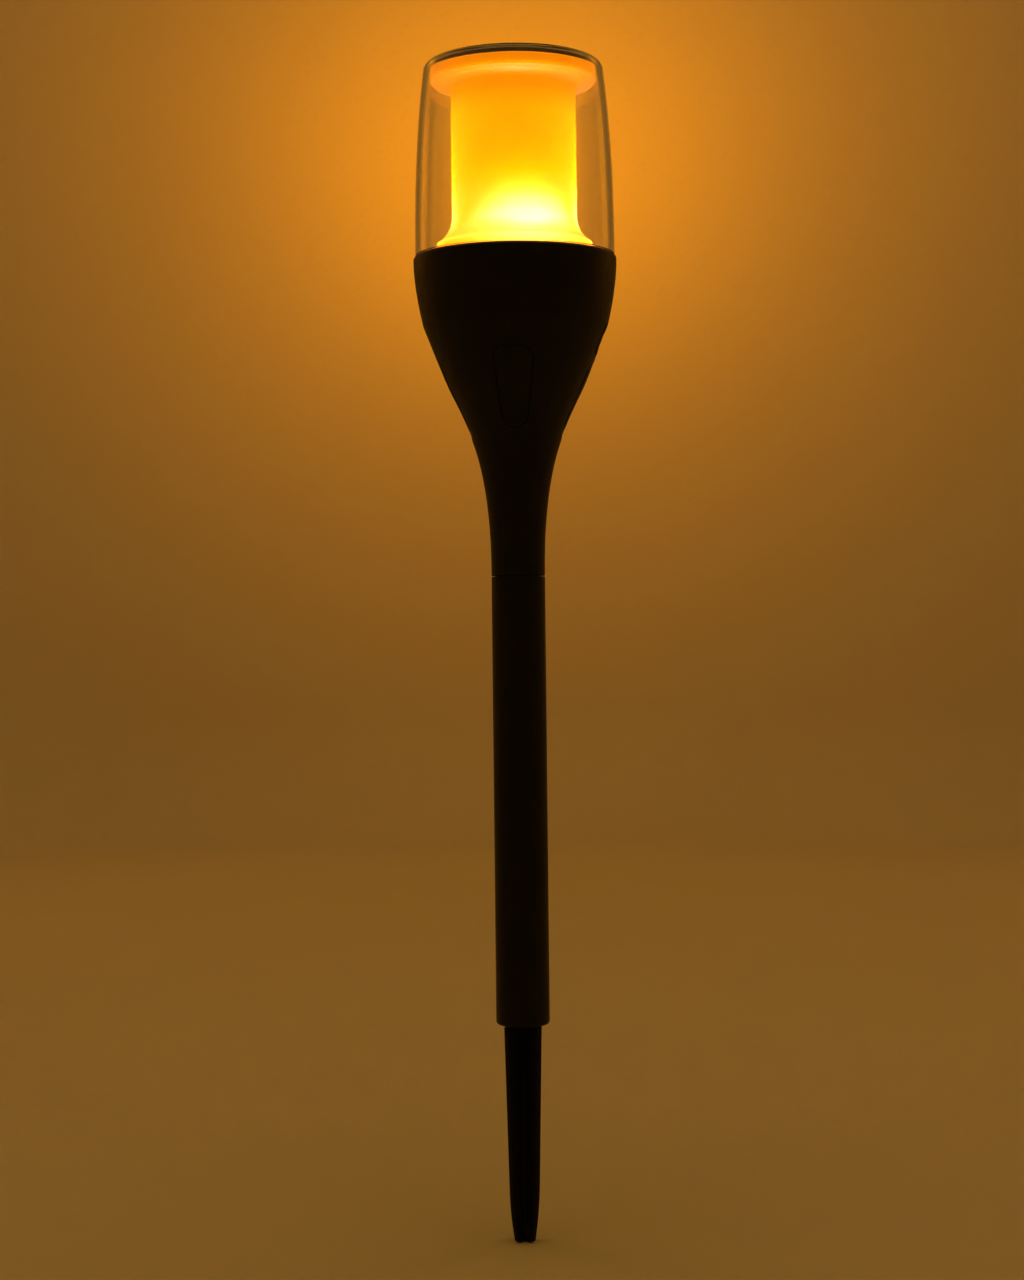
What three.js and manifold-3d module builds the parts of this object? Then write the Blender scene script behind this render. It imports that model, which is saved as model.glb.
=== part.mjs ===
// A small solar garden torch: a clear-covered lamp in a cup-shaped head, a plain pole and a ground stake.
// Millimetres, +Z up. The origin is the stake's tip, the torch stands on the Z axis and -Y is its front.
import * as THREE from "three";
import { mergeVertices } from "three/addons/utils/BufferGeometryUtils.js";
import Module from "manifold-3d";

const wasm = await Module();
wasm.setup();

// ---------- driving dimensions ----------

const gap = 0.3; // between any two pieces that touch
const roundSides = 36; // sides of a full turn on the large round pieces
const smallSides = 12; // sides of a full turn on the small round pieces

// Pole and ground stake
const poleRadius = 10.7;
const poleBoreRadius = 8.8;
const poleBottom = 86.4;
const poleEndRounding = 1.6;
const seamHeight = 265.6; // the head's shoulder, just above the pole's top
const seamChamfer = 0.35;
const bladeThickness = 2.4;
const bladeTop = 112;
const plugRadius = 8.35;
const stakeDiscThickness = 2.4;

// Head
const spigotRadius = 8.5;
const spigotBoreRadius = 6.8;
const spigotBottom = 241.6;
const rimHeight = 393;
const rimRadius = 40.58;
const rimRounding = 1.5;
const skirtBoreRadius = 38.9; // the wider bore that takes the cover's skirt
const skirtBoreBottom = 385.2;
const deckBoreRadius = 38.3;
const flankWall = 2.6;
const flankTilt = THREE.MathUtils.degToRad(23.6); // the flank's lean away from upright
const inlayThickness = 1.2;
const inlayMiddle = 338.9;
const inlayBottom = 323.1;
const inlayTop = 353.4;
const shortInlayTop = 348.2;
const inlayTopWidth = 15.4;
const inlayBottomWidth = 10.1;
const inlayCorner = 5;

// Clear cover
const coverBottom = 387.2;
const coverTop = 470.4;
const coverWall = 2.4;
const coverFootRadius = 39.84;
const coverSkirtRadius = 38.6;
const coverRoof = 1.4;
const shoulderRounding = 3.6;
const shoulderCentreRadius = 32.4;

// Lamp deck, diffuser and panel
const deckBottom = 382.4;
const deckTop = 385;
const deckRadius = 38;
const deckScrewCircle = 33.9;
const footTop = 386.9; // top of the diffuser's foot flange
const footRadius = 36.4;
const columnRadius = 24.9;
const diffuserWall = 1.6;
const columnBottom = 408.8;
const flareRadius = 12.8;
const dishBottom = 462;
const dishTop = 466.7;
const dishRadius = 33.2;
const frameRadius = 32.2;
const frameTop = 468.7;
const cellHalfWidth = 22;
const cellCutCorner = 6;
const cellThickness = 0.5;
const cellRecess = 0.9;

// Circuit board and lamp
const boardBottom = 388.3;
const boardThickness = 1.6;
const boardRadius = 20;
const boardScrewSpots = [[-13, -10], [13, 10]];
const lampX = 4;
const lampBottom = 403.5;
const lampRadius = 3.9;
const lampTop = 414;
const leadRadius = 0.3;
const leadSpacing = 1.27;

// Battery and holder
const cellRadius = 7.2;
const batteryBottom = 328.6;
const batteryBodyLength = 49.3;
const batteryNub = 1.2;
const holderBottom = 322.4;
const holderFloor = 324;
const holderTop = 382.1;
const holderPlate = 1.9;
const holderOuterRadius = 9.3;
const holderInnerRadius = 7.7;
const holderScrewSpots = [[0, 13], [0, -13]];
const cableHole = { x: 14, radius: 6 };

// Screws
const shankRadius = 1.2;
const pilotRadius = 1.5;

// Push button on the right flank, in its own axes: x around the torch, y up the flank, z outwards
const buttonHeight = 359.2;
const buttonRadius = 34.3;
const buttonTilt = THREE.MathUtils.degToRad(22);
const buttonWidth = 15;
const buttonLength = 12.8;
const buttonCorner = 3.5;
const pillarSpacing = 12.3;
const pillarRadius = 2;
const smallShankRadius = 0.8;
const smallPilotRadius = 1.1;
const switchBoardFace = -13;
const switchBoardBack = -14.2;

// ---------- helpers ----------

const point = (r, z) => new THREE.Vector2(r, z);

/** Points of a circular arc in an outline, from one angle to another in degrees. */
function arc(r, z, radius, from, to, steps) {
  const points = [];
  for (let i = 0; i <= steps; i += 1) {
    const angle = THREE.MathUtils.degToRad(from + ((to - from) * i) / steps);
    points.push(point(r + radius * Math.cos(angle), z + radius * Math.sin(angle)));
  }
  return points;
}

/** Points of a smooth bend from one point to another, drawn towards a third. */
function bend(from, pull, to, steps) {
  return new THREE.QuadraticBezierCurve(from, pull, to).getPoints(steps);
}

/** A solid turned about the Z axis from an outline that goes up its outside and down its inside. */
function turned(outline, sides = roundSides) {
  return new THREE.LatheGeometry(outline, sides).rotateX(Math.PI / 2);
}

/** A closed ring: the outline is joined to its own start. */
function turnedRing(outline, sides = roundSides) {
  return turned([...outline, outline[0].clone()], sides);
}

/** An upright cylinder between two heights. */
function rod(radius, bottom, top, x = 0, y = 0, sides = smallSides) {
  const outline = [point(0, bottom), point(radius, bottom), point(radius, top), point(0, top)];
  return turned(outline, sides).translate(x, y, 0);
}

/** A flat shape given thickness upwards from a height. */
function slab(shape, bottom, top, curveSegments = 6) {
  const settings = { depth: top - bottom, bevelEnabled: false, curveSegments };
  return new THREE.ExtrudeGeometry(shape, settings).translate(0, 0, bottom);
}

/** A rectangle with rounded corners, centred on the origin. */
function roundedRectangle(width, height, radius) {
  const shape = new THREE.Shape();
  const x = width / 2 - radius;
  const y = height / 2 - radius;
  shape.absarc(x, -y, radius, -Math.PI / 2, 0);
  shape.absarc(x, y, radius, 0, Math.PI / 2);
  shape.absarc(-x, y, radius, Math.PI / 2, Math.PI);
  shape.absarc(-x, -y, radius, Math.PI, 1.5 * Math.PI);
  shape.closePath();
  return shape;
}

/** A plain rectangle, centred on the origin. */
function rectangle(width, height) {
  const x = width / 2;
  const y = height / 2;
  return new THREE.Shape([point(-x, -y), point(x, -y), point(x, y), point(-x, y)]);
}

/** A round wire that follows a smooth path through points. */
function wire(stops, radius, steps) {
  const path = new THREE.CatmullRomCurve3(stops.map((stop) => new THREE.Vector3(...stop)));
  return sweptRod(path, radius, steps, 6);
}

/** A round rod swept along a curve. */
function sweptRod(path, radius, steps, sides) {
  const section = new THREE.Shape(arc(0, 0, radius, 0, 360 - 360 / sides, sides - 1));
  return new THREE.ExtrudeGeometry(section, { steps, extrudePath: path, bevelEnabled: false });
}

/** The solid that a closed geometry encloses, ready to be added to or cut. */
function solid(geometry) {
  const bare = geometry.clone();
  bare.deleteAttribute("normal");
  bare.deleteAttribute("uv");
  const joined = mergeVertices(bare, 1e-4);
  const shell = new wasm.Mesh({
    numProp: 3,
    vertProperties: new Float32Array(joined.attributes.position.array),
    triVerts: new Uint32Array(joined.index.array),
  });
  return new wasm.Manifold(shell);
}

/** The geometry of a solid. */
function surface(body) {
  const shell = body.getMesh();
  const geometry = new THREE.BufferGeometry();
  geometry.setAttribute("position", new THREE.BufferAttribute(new Float32Array(shell.vertProperties), 3));
  geometry.setIndex(new THREE.BufferAttribute(new Uint32Array(shell.triVerts), 1));
  return geometry;
}

/** One geometry with others added to it and then others cut away. */
function combined(base, added, removed) {
  let body = solid(base);
  for (const geometry of added) {
    body = body.add(solid(geometry));
  }
  for (const geometry of removed) {
    body = body.subtract(solid(geometry));
  }
  return surface(body);
}

/** What two geometries share. */
function shared(first, second) {
  return surface(solid(first).intersect(solid(second)));
}

const torch = new THREE.Group();
torch.name = "solar_garden_torch";

/** Adds one named piece with its own colour and surface. */
function piece(name, geometry, color, roughness, metalness = 0) {
  const faceted = geometry.index ? geometry.toNonIndexed() : geometry;
  faceted.computeVertexNormals();
  const mesh = new THREE.Mesh(faceted, new THREE.MeshStandardMaterial({ color, roughness, metalness }));
  mesh.name = name;
  torch.add(mesh);
}

const black = 0x111112;
const darkRubber = 0x0a0a0b;
const steel = 0xb9bcc0;
const redWire = 0xb01818;
const blackWire = 0x161616;

// ---------- the head's outer wall ----------

const flankFoot = point(18.3, 322);
const kink = point(36.9, 365.4);

/** The flank from its foot up to the kink under the rim band. */
function flankOutline(steps) {
  const through = [flankFoot, point(22.35, 331.2), point(27.05, 340.8), point(31, 350.4), point(34.55, 359.4), kink];
  return new THREE.SplineCurve(through).getPoints(steps);
}

/** The flank moved straight in by a distance square to it. */
function insetFlank(distance, steps) {
  const inwards = point(-distance * Math.cos(flankTilt), distance * Math.sin(flankTilt));
  return flankOutline(steps).map((spot) => spot.add(inwards));
}

/** A full cone-like body inside the flank, used to trim what lies in the wall. */
function flankCore(distance) {
  const edge = insetFlank(distance, 8);
  const first = edge[0];
  const last = edge[edge.length - 1];
  return turned([point(0, first.y), ...edge, point(0, last.y)]);
}

// ---------- stake and pole ----------

/** One flat blade of the stake, square to X before it is turned. */
function blade() {
  const side = [point(4.6, 0.25), point(5, 1.2), point(7.14, 12.8), point(9.4, poleBottom - gap),
    point(plugRadius, poleBottom - gap), point(plugRadius, bladeTop - 2), point(plugRadius - 1, bladeTop)];
  const shape = new THREE.Shape([point(3.9, 0), ...side]);
  for (const corner of [...side].reverse()) {
    shape.lineTo(-corner.x, corner.y);
  }
  shape.lineTo(-3.9, 0);
  const settings = { depth: bladeThickness, bevelEnabled: false };
  return new THREE.ExtrudeGeometry(shape, settings).translate(0, 0, -bladeThickness / 2).rotateX(Math.PI / 2);
}

function stake() {
  const quarterTurn = Math.PI / 4;
  const disc = rod(spigotRadius, poleBottom + 1, poleBottom + 1 + stakeDiscThickness, 0, 0, roundSides);
  return combined(blade().rotateZ(quarterTurn), [blade().rotateZ(-quarterTurn), disc], []);
}

function pole() {
  const top = seamHeight - gap;
  const roundCentre = poleRadius - poleEndRounding;
  return turnedRing([
    point(poleBoreRadius, poleBottom),
    ...arc(roundCentre, poleBottom + poleEndRounding, poleEndRounding, -90, 0, 5),
    point(poleRadius, top - seamChamfer),
    point(poleRadius - seamChamfer, top),
    point(poleBoreRadius, top),
  ]);
}

piece("stake", stake(), black, 0.5);
piece("pole", pole(), black, 0.42);

// ---------- head cup with its inlays ----------

/** Moves a geometry from a flank's own axes to the right-hand side of the head. */
function ontoFlank(geometry, radius, height, tilt) {
  const around = new THREE.Vector3(0, 1, 0);
  const upwards = new THREE.Vector3(Math.sin(tilt), 0, Math.cos(tilt));
  const outwards = new THREE.Vector3(Math.cos(tilt), 0, -Math.sin(tilt));
  const place = new THREE.Matrix4().makeBasis(around, upwards, outwards).setPosition(radius, 0, height);
  return geometry.clone().applyMatrix4(place);
}

/** An inlay's outline up the flank: wide with rounded corners above, narrow and half-round below. */
function inlayShape(top, margin) {
  const stretch = 1 / Math.cos(flankTilt);
  const low = (inlayBottom - inlayMiddle) * stretch - margin;
  const high = (top - inlayMiddle) * stretch + margin;
  const lowRadius = inlayBottomWidth / 2 + margin;
  const wide = inlayTopWidth / 2 + margin;
  const corner = inlayCorner + margin;
  const shape = new THREE.Shape();
  shape.absarc(wide - corner, high - corner, corner, 0, Math.PI / 2);
  shape.absarc(corner - wide, high - corner, corner, Math.PI / 2, Math.PI);
  shape.absarc(0, low + lowRadius, lowRadius, Math.PI, 2 * Math.PI);
  shape.closePath();
  return shape;
}

/** The part of the flank's skin behind an inlay's outline, down to a depth, turned to a side of the head. */
function flankPatch(top, margin, depth, turn) {
  const reach = 9;
  const block = slab(inlayShape(top, margin), -reach, reach, 5);
  const middleRadius = 26.2;
  const upright = ontoFlank(block, middleRadius, inlayMiddle, flankTilt);
  const skin = combined(flankCore(margin > 0 ? -1 : 0), [], [flankCore(depth)]);
  return shared(upright, skin).rotateZ(turn);
}

const inlays = [
  { name: "inlay_front", turn: -Math.PI / 2, top: inlayTop },
  { name: "inlay_right", turn: 0, top: shortInlayTop },
  { name: "inlay_back", turn: Math.PI / 2, top: inlayTop },
  { name: "inlay_left", turn: Math.PI, top: inlayTop },
];

const deckScrewTurns = [60, 180, 300].map(THREE.MathUtils.degToRad);
const deckScrewSpots = deckScrewTurns.map((turn) => [deckScrewCircle * Math.cos(turn), deckScrewCircle * Math.sin(turn)]);

/** Moves a geometry from the button's own axes to the head. */
function ontoButton(geometry) {
  return ontoFlank(geometry, buttonRadius, buttonHeight, buttonTilt);
}

function cupShell() {
  const outside = [
    point(spigotBoreRadius, spigotBottom),
    point(spigotRadius - 0.5, spigotBottom),
    point(spigotRadius, spigotBottom + 0.8),
    point(spigotRadius, seamHeight),
    point(poleRadius - seamChamfer, seamHeight),
    point(poleRadius, seamHeight + seamChamfer),
    ...bend(point(poleRadius, 267), point(poleRadius, 300), point(17.8, 319.6), 6),
    ...flankOutline(8),
    ...bend(kink, point(40.5, 380.6), point(rimRadius, rimHeight - rimRounding), 4).slice(1),
    ...arc(rimRadius - rimRounding, rimHeight - rimRounding, rimRounding, 22.5, 90, 3),
  ];
  const inside = [
    point(skirtBoreRadius, rimHeight),
    point(skirtBoreRadius, skirtBoreBottom),
    point(deckBoreRadius, skirtBoreBottom),
    point(deckBoreRadius, 382),
    point(37, 376),
    ...insetFlank(flankWall, 4).reverse(),
    ...bend(point(15.2, 320.4), point(8.3, 300.5), point(8.3, 272), 4),
    point(spigotBoreRadius, 266.6),
  ];
  return turnedRing([...outside, ...inside]);
}

function cup() {
  const bossBottom = 369.5;
  const bosses = deckScrewSpots.map(([x, y]) => rod(3, bossBottom, deckBottom - gap, x, y));
  const bossHoles = deckScrewSpots.map(([x, y]) => rod(pilotRadius, bossBottom + 1.2, deckBottom + 1, x, y));
  const sides = [-pillarSpacing, pillarSpacing];
  const pillars = sides.map((x) => ontoButton(rod(pillarRadius, switchBoardFace + gap, -3.4, x)));
  const pillarHoles = sides.map((x) => ontoButton(rod(smallPilotRadius, switchBoardFace - 1, -5.8, x)));
  const pockets = inlays.map(({ top, turn }) => flankPatch(top, gap, inlayThickness + gap, turn));
  const opening = roundedRectangle(buttonWidth + 2 * gap, buttonLength + 2 * gap, buttonCorner + gap);
  const buttonHole = ontoButton(slab(opening, -6, 4, 4));
  return combined(cupShell(), [...bosses, ...pillars], [...bossHoles, ...pillarHoles, ...pockets, buttonHole]);
}

piece("torch_cup", cup(), black, 0.42);
for (const { name, turn, top } of inlays) {
  piece(name, flankPatch(top, 0, inlayThickness, turn), darkRubber, 0.6);
}

// ---------- clear cover and its seal ----------

/** The cover's side from its foot to the start of the shoulder, with the wall's thickness taken off if asked. */
function coverSide(inset, bottom, top, steps) {
  return bend(point(coverFootRadius - inset, bottom), point(39.9 - inset, 436.2), top, steps);
}

function cover() {
  const shoulderHeight = coverTop - shoulderRounding;
  const lean = 7.4;
  const shoulder = arc(shoulderCentreRadius, shoulderHeight, shoulderRounding, lean, 90, 4);
  const innerRounding = 1.8;
  const ceiling = coverTop - coverRoof;
  const innerShoulder = arc(31.8, ceiling - innerRounding, innerRounding, 90, 0, 3);
  const shelf = rimHeight + gap;
  return turned([
    point(0, ceiling),
    ...innerShoulder,
    ...coverSide(coverWall, shelf, innerShoulder[3], 5).reverse().slice(1),
    point(coverFootRadius - coverWall, coverBottom),
    point(coverSkirtRadius, coverBottom),
    point(coverSkirtRadius, shelf),
    ...coverSide(0, shelf, shoulder[0], 6),
    ...shoulder.slice(1),
    point(0, coverTop),
  ]);
}

function gasket() {
  const section = 0.8;
  return turnedRing(arc(37.6, deckTop + gap + section, section, 0, 300, 5), 28);
}

piece("clear_cover", cover(), 0xf4f7f8, 0.06);
piece("cover_gasket", gasket(), 0x1a1a1a, 0.8);

// ---------- diffuser, deck and solar panel ----------

function diffuser() {
  const flareCentre = columnRadius + flareRadius;
  const underFillet = 4;
  const outer = [
    point(29.4, deckTop + gap),
    point(footRadius, deckTop + gap),
    point(footRadius, footTop),
    point(31.6, footTop),
    point(31, footTop + 0.6),
    ...arc(flareCentre, columnBottom, flareRadius, 238.4, 180, 5),
    ...arc(columnRadius + underFillet, dishBottom - underFillet, underFillet, 180, 90, 4),
    point(dishRadius - 0.6, dishBottom),
    point(dishRadius, dishBottom + 0.6),
    point(dishRadius, dishTop),
  ];
  const inner = [
    point(dishRadius - 1.4, dishTop),
    point(dishRadius - 1.4, dishBottom + diffuserWall),
    point(columnRadius + 0.4, dishBottom + diffuserWall),
    point(columnRadius - diffuserWall, dishBottom - 0.4),
    ...arc(flareCentre, columnBottom, flareRadius + diffuserWall, 180, 234.8, 4),
  ];
  const holes = deckScrewSpots.map(([x, y]) => rod(pilotRadius, deckTop, footTop + 1, x, y));
  return combined(turnedRing([...outer, ...inner]), [], holes);
}

function deck() {
  const plate = rod(deckRadius, deckBottom, deckTop, 0, 0, roundSides);
  const standoffs = boardScrewSpots.map(([x, y]) => rod(2.5, deckBottom, boardBottom - gap, x, y));
  const holes = [...deckScrewSpots, ...holderScrewSpots, ...boardScrewSpots]
    .map(([x, y]) => rod(pilotRadius, deckBottom - 1, boardBottom + 1, x, y));
  const cables = rod(cableHole.radius, deckBottom - 1, deckTop + 1, cableHole.x, 0, 28);
  return combined(plate, standoffs, [...holes, cables]);
}

/** The square cell's outline with its four corners cut off. */
function cellShape(margin) {
  const half = cellHalfWidth + margin;
  const cut = half - cellCutCorner;
  const corners = [[half, -cut], [half, cut], [cut, half], [-cut, half], [-half, cut], [-half, -cut], [-cut, -half], [cut, -half]];
  return new THREE.Shape(corners.map(([x, y]) => point(x, y)));
}

const panelWireX = 2.5;
const panelWireY = 15;

function panelFrame() {
  const body = turned([
    point(0, dishTop - 0.4),
    point(dishRadius - 1.4 - gap, dishTop - 0.4),
    point(dishRadius - 1.4 - gap, dishTop + gap),
    point(frameRadius, dishTop + gap),
    point(frameRadius, frameTop - 0.5),
    point(frameRadius - 0.5, frameTop),
    point(0, frameTop),
  ]);
  const recess = slab(cellShape(gap), frameTop - cellRecess, frameTop + 1);
  const wireHoles = [-panelWireX, panelWireX].map((x) => rod(0.9, dishTop - 1, frameTop, x, panelWireY));
  return combined(body, [], [recess, ...wireHoles]);
}

function panelWire(x) {
  const behind = 21.6;
  const stops = [
    [x, panelWireY, frameTop - cellRecess - 0.1],
    [x, panelWireY, 463.5],
    [x, 19.5, 457.5],
    [x, behind, 450],
    [x, behind, 430],
    [x, behind, 408],
    [x, behind - 0.6, 399],
    [x, 18.2, 393.5],
    [x, 17.4, boardBottom + boardThickness + gap],
  ];
  return wire(stops, 0.55, 26);
}

piece("diffuser", diffuser(), 0xf6ead2, 0.55);
piece("lamp_deck", deck(), 0x1c1c1d, 0.5);
piece("panel_frame", panelFrame(), 0x0c0c0d, 0.4);
const cellBottom = frameTop - cellRecess + gap;
piece("solar_cell", slab(cellShape(0), cellBottom, cellBottom + cellThickness), 0x10131f, 0.2);
piece("panel_wire_red", panelWire(-panelWireX), redWire, 0.5);
piece("panel_wire_black", panelWire(panelWireX), blackWire, 0.5);

// ---------- screws ----------

/** A round-headed screw pointing down, with its head resting at a height. */
function screw(x, y, seat, headRadius, headHeight, radius, tip) {
  const outline = [
    point(0, tip),
    point(radius * 0.4, tip),
    point(radius, tip + 1),
    point(radius, seat),
    point(headRadius, seat),
    point(headRadius, seat + headHeight * 0.5),
    point(headRadius * 0.7, seat + headHeight),
    point(0, seat + headHeight),
  ];
  const slot = rectangle(headRadius * 1.1, headRadius * 0.3);
  const cut = slab(slot, seat + headHeight * 0.5, seat + headHeight + 1);
  const cross = cut.clone().rotateZ(Math.PI / 2);
  return combined(turned(outline, 10), [], [cut, cross]).translate(x, y, 0);
}

deckScrewSpots.forEach(([x, y], i) => {
  piece(`deck_screw_${i + 1}`, screw(x, y, footTop + gap, 2.3, 1.7, shankRadius, 372), steel, 0.35, 1);
});
holderScrewSpots.forEach(([x, y], i) => {
  piece(`holder_screw_${i + 1}`, screw(x, y, deckTop + gap, 2.2, 1.5, shankRadius, 377.5), steel, 0.35, 1);
});
boardScrewSpots.forEach(([x, y], i) => {
  const seat = boardBottom + boardThickness + gap;
  piece(`board_screw_${i + 1}`, screw(x, y, seat, 2.2, 1.5, shankRadius, deckBottom + 0.6), steel, 0.35, 1);
});

// ---------- circuit board and lamp ----------

const boardTop = boardBottom + boardThickness;
const leadSpots = [[lampX - leadSpacing, 0], [lampX + leadSpacing, 0]];

function circuitBoard() {
  const plate = rod(boardRadius, boardBottom, boardTop, 0, 0, 48);
  const screwHoles = boardScrewSpots.map(([x, y]) => rod(pilotRadius, boardBottom - 1, boardTop + 1, x, y));
  const leadHoles = leadSpots.map(([x, y]) => rod(leadRadius + gap, boardBottom - 1, boardTop + 1, x, y));
  return combined(plate, [], [...screwHoles, ...leadHoles]);
}

function lamp() {
  const domeHeight = lampTop - lampRadius;
  const outline = [
    point(0, lampBottom),
    point(lampRadius + 0.5, lampBottom),
    point(lampRadius + 0.5, lampBottom + 1.2),
    point(lampRadius, lampBottom + 1.2),
    ...arc(0, domeHeight, lampRadius, 0, 80, 5),
    point(0, lampTop),
  ];
  return turned(outline, 24).translate(lampX, 0, 0);
}

function lampSpacer() {
  const bottom = boardTop + gap;
  const top = lampBottom - gap;
  const outline = [point(2.3, bottom), point(4, bottom), point(4, top), point(2.3, top)];
  return turnedRing(outline, 24).translate(lampX, 0, 0);
}

piece("circuit_board", circuitBoard(), 0x1f5a34, 0.5);
piece("led", lamp(), 0xffe2b0, 0.15);
piece("led_spacer", lampSpacer(), 0xeeeeea, 0.5);
leadSpots.forEach(([x, y], i) => {
  piece(`led_lead_${i + 1}`, rod(leadRadius, boardBottom + 0.2, lampBottom - gap, x, y, 8), steel, 0.3, 1);
});
piece("controller_chip", slab(rectangle(5, 4), boardTop + gap, boardTop + 1.8).translate(-8, 3, 0), 0x151515, 0.5);
piece("charge_coil", rod(3, boardTop + gap, boardTop + 4.2, -3, 11, 24), 0x2b2b2e, 0.6);

// ---------- battery and its holder ----------

const redWireHeight = 378.7; // between the battery's shoulder and the contact plate

function batteryHolder() {
  const sleeve = rod(holderOuterRadius, holderBottom, holderTop - holderPlate, 0, 0, 28);
  const plate = slab(roundedRectangle(19, 32, 3), holderTop - holderPlate, holderTop, 4);
  const lugs = holderScrewSpots.map(([x, y]) => rod(2.9, 376, holderTop - holderPlate + 0.5, x, y));
  const space = rod(holderInnerRadius, holderFloor, holderTop - holderPlate, 0, 0, 28);
  const mouthDepth = 20;
  const mouth = slab(rectangle(mouthDepth, 13), holderFloor, holderTop - holderPlate);
  mouth.translate(-4.5 - mouthDepth / 2, 0, 0);
  const screwHoles = holderScrewSpots.map(([x, y]) => rod(pilotRadius, 377, holderTop + 1, x, y));
  const wireHole = rod(1, 6, 11).rotateY(Math.PI / 2).translate(0, 0, redWireHeight);
  const floorHole = rod(1, holderBottom - 1, holderFloor + 1, 5, 0);
  return combined(sleeve, [plate, ...lugs], [space, mouth, wireHole, floorHole, ...screwHoles]);
}

function battery() {
  const top = batteryBottom + batteryBodyLength;
  const outline = [
    point(0, batteryBottom),
    point(cellRadius - 0.5, batteryBottom),
    point(cellRadius, batteryBottom + 0.5),
    point(cellRadius, top - 0.5),
    point(cellRadius - 0.5, top),
    point(2.7, top),
    point(2.7, top + batteryNub),
    point(0, top + batteryNub),
  ];
  return turned(outline, 28);
}

/** The cone-shaped coil that presses the battery up. */
class CoilPath extends THREE.Curve {
  getPoint(t) {
    const wireRadius = 0.4;
    const turns = 3.5;
    const low = holderFloor + gap + wireRadius;
    const high = batteryBottom - gap - wireRadius;
    const radius = 5.4 - 2.2 * t;
    const angle = 2 * Math.PI * turns * t;
    return new THREE.Vector3(radius * Math.cos(angle), radius * Math.sin(angle), low + (high - low) * t);
  }
}

function batteryWireRed() {
  const stops = [
    [4.2, 0, redWireHeight],
    [7, 0, redWireHeight],
    [9.8, -0.5, redWireHeight + 0.3],
    [11, -1.4, redWireHeight + 2.5],
    [11, -1.4, 384],
    [11, -1.4, boardBottom - gap],
  ];
  return wire(stops, 0.5, 16);
}

function batteryWireBlack() {
  const stops = [
    [5, 0, 322.9],
    [5.4, 0, 320.6],
    [9, 0.6, 320],
    [10.6, 1.2, 324],
    [10.6, 1.2, 340],
    [10.6, 1.2, 360],
    [10.6, 1.2, 380],
    [11.4, 1.2, boardBottom - gap],
  ];
  return wire(stops, 0.5, 28);
}

const contactTop = holderTop - holderPlate - gap;
piece("battery_holder", batteryHolder(), 0x202022, 0.55);
piece("battery", battery(), 0x3f6f4a, 0.35);
piece("contact_plate", slab(roundedRectangle(8, 9, 1.5), contactTop - 0.4, contactTop, 3), steel, 0.3, 1);
piece("contact_spring", sweptRod(new CoilPath(), 0.4, 63, 5), steel, 0.3, 1);
piece("battery_wire_red", batteryWireRed(), redWire, 0.5);
piece("battery_wire_black", batteryWireBlack(), blackWire, 0.5);

// ---------- push button and its switch ----------

function button() {
  const flangeFace = -4.4;
  const flangeBack = -5.6;
  const face = slab(roundedRectangle(buttonWidth, buttonLength, buttonCorner), flangeFace, 6, 5);
  const flange = slab(roundedRectangle(buttonWidth + 2.8, buttonLength + 2.4, buttonCorner), flangeBack, flangeFace, 4);
  const plunger = rod(1.5, -9.6, flangeBack);
  const cap = shared(ontoButton(face), flankCore(0));
  return combined(cap, [ontoButton(flange), ontoButton(plunger)], []);
}

function switchBody() {
  const box = slab(roundedRectangle(8, 8, 0.6), switchBoardFace + gap, -7.3, 2);
  const bore = rod(1.9, -11.3, -6);
  return ontoButton(combined(box, [], [bore]));
}

function switchBoard() {
  const plate = slab(roundedRectangle(29, 10, 1), switchBoardBack, switchBoardFace, 2);
  const holes = [-pillarSpacing, pillarSpacing].map((x) => rod(smallPilotRadius, switchBoardBack - 1, switchBoardFace + 1, x));
  return ontoButton(combined(plate, [], holes));
}

/** A small screw driven outwards through the switch board into a pillar. */
function switchScrew(x) {
  const upsideDown = screw(0, 0, 0, 1.6, 1.2, smallShankRadius, -7).rotateX(Math.PI);
  return ontoButton(upsideDown.translate(x, 0, switchBoardBack - gap));
}

function switchWire(side) {
  const stops = [
    [21.7, 2 * side, 367.7],
    [19.8, 2 * side, 368.6],
    [17.2, 2.2 * side, 372.5],
    [16.4, 2.2 * side, 380],
    [16, 2.2 * side, boardBottom - gap],
  ];
  return wire(stops, 0.5, 16);
}

piece("switch_button", button(), darkRubber, 0.6);
piece("switch_body", switchBody(), 0x2a2a2c, 0.5);
piece("switch_board", switchBoard(), 0x1f5a34, 0.5);
piece("switch_screw_1", switchScrew(-pillarSpacing), steel, 0.35, 1);
piece("switch_screw_2", switchScrew(pillarSpacing), steel, 0.35, 1);
piece("switch_wire_1", switchWire(-1), redWire, 0.5);
piece("switch_wire_2", switchWire(1), blackWire, 0.5);

export default torch;
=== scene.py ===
"""The looks of a small solar garden torch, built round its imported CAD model.

Shapes are written in millimetres, in the CAD's own frame, and scaled to metres when a piece is added.
-Y is the front and the lamp is lit. The stage is a plain pale bowl under a soft warm light, with amber light
on its wall behind the torch.
"""

import bisect
import math

import bmesh
import bpy
from mathutils import Matrix, Vector


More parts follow.
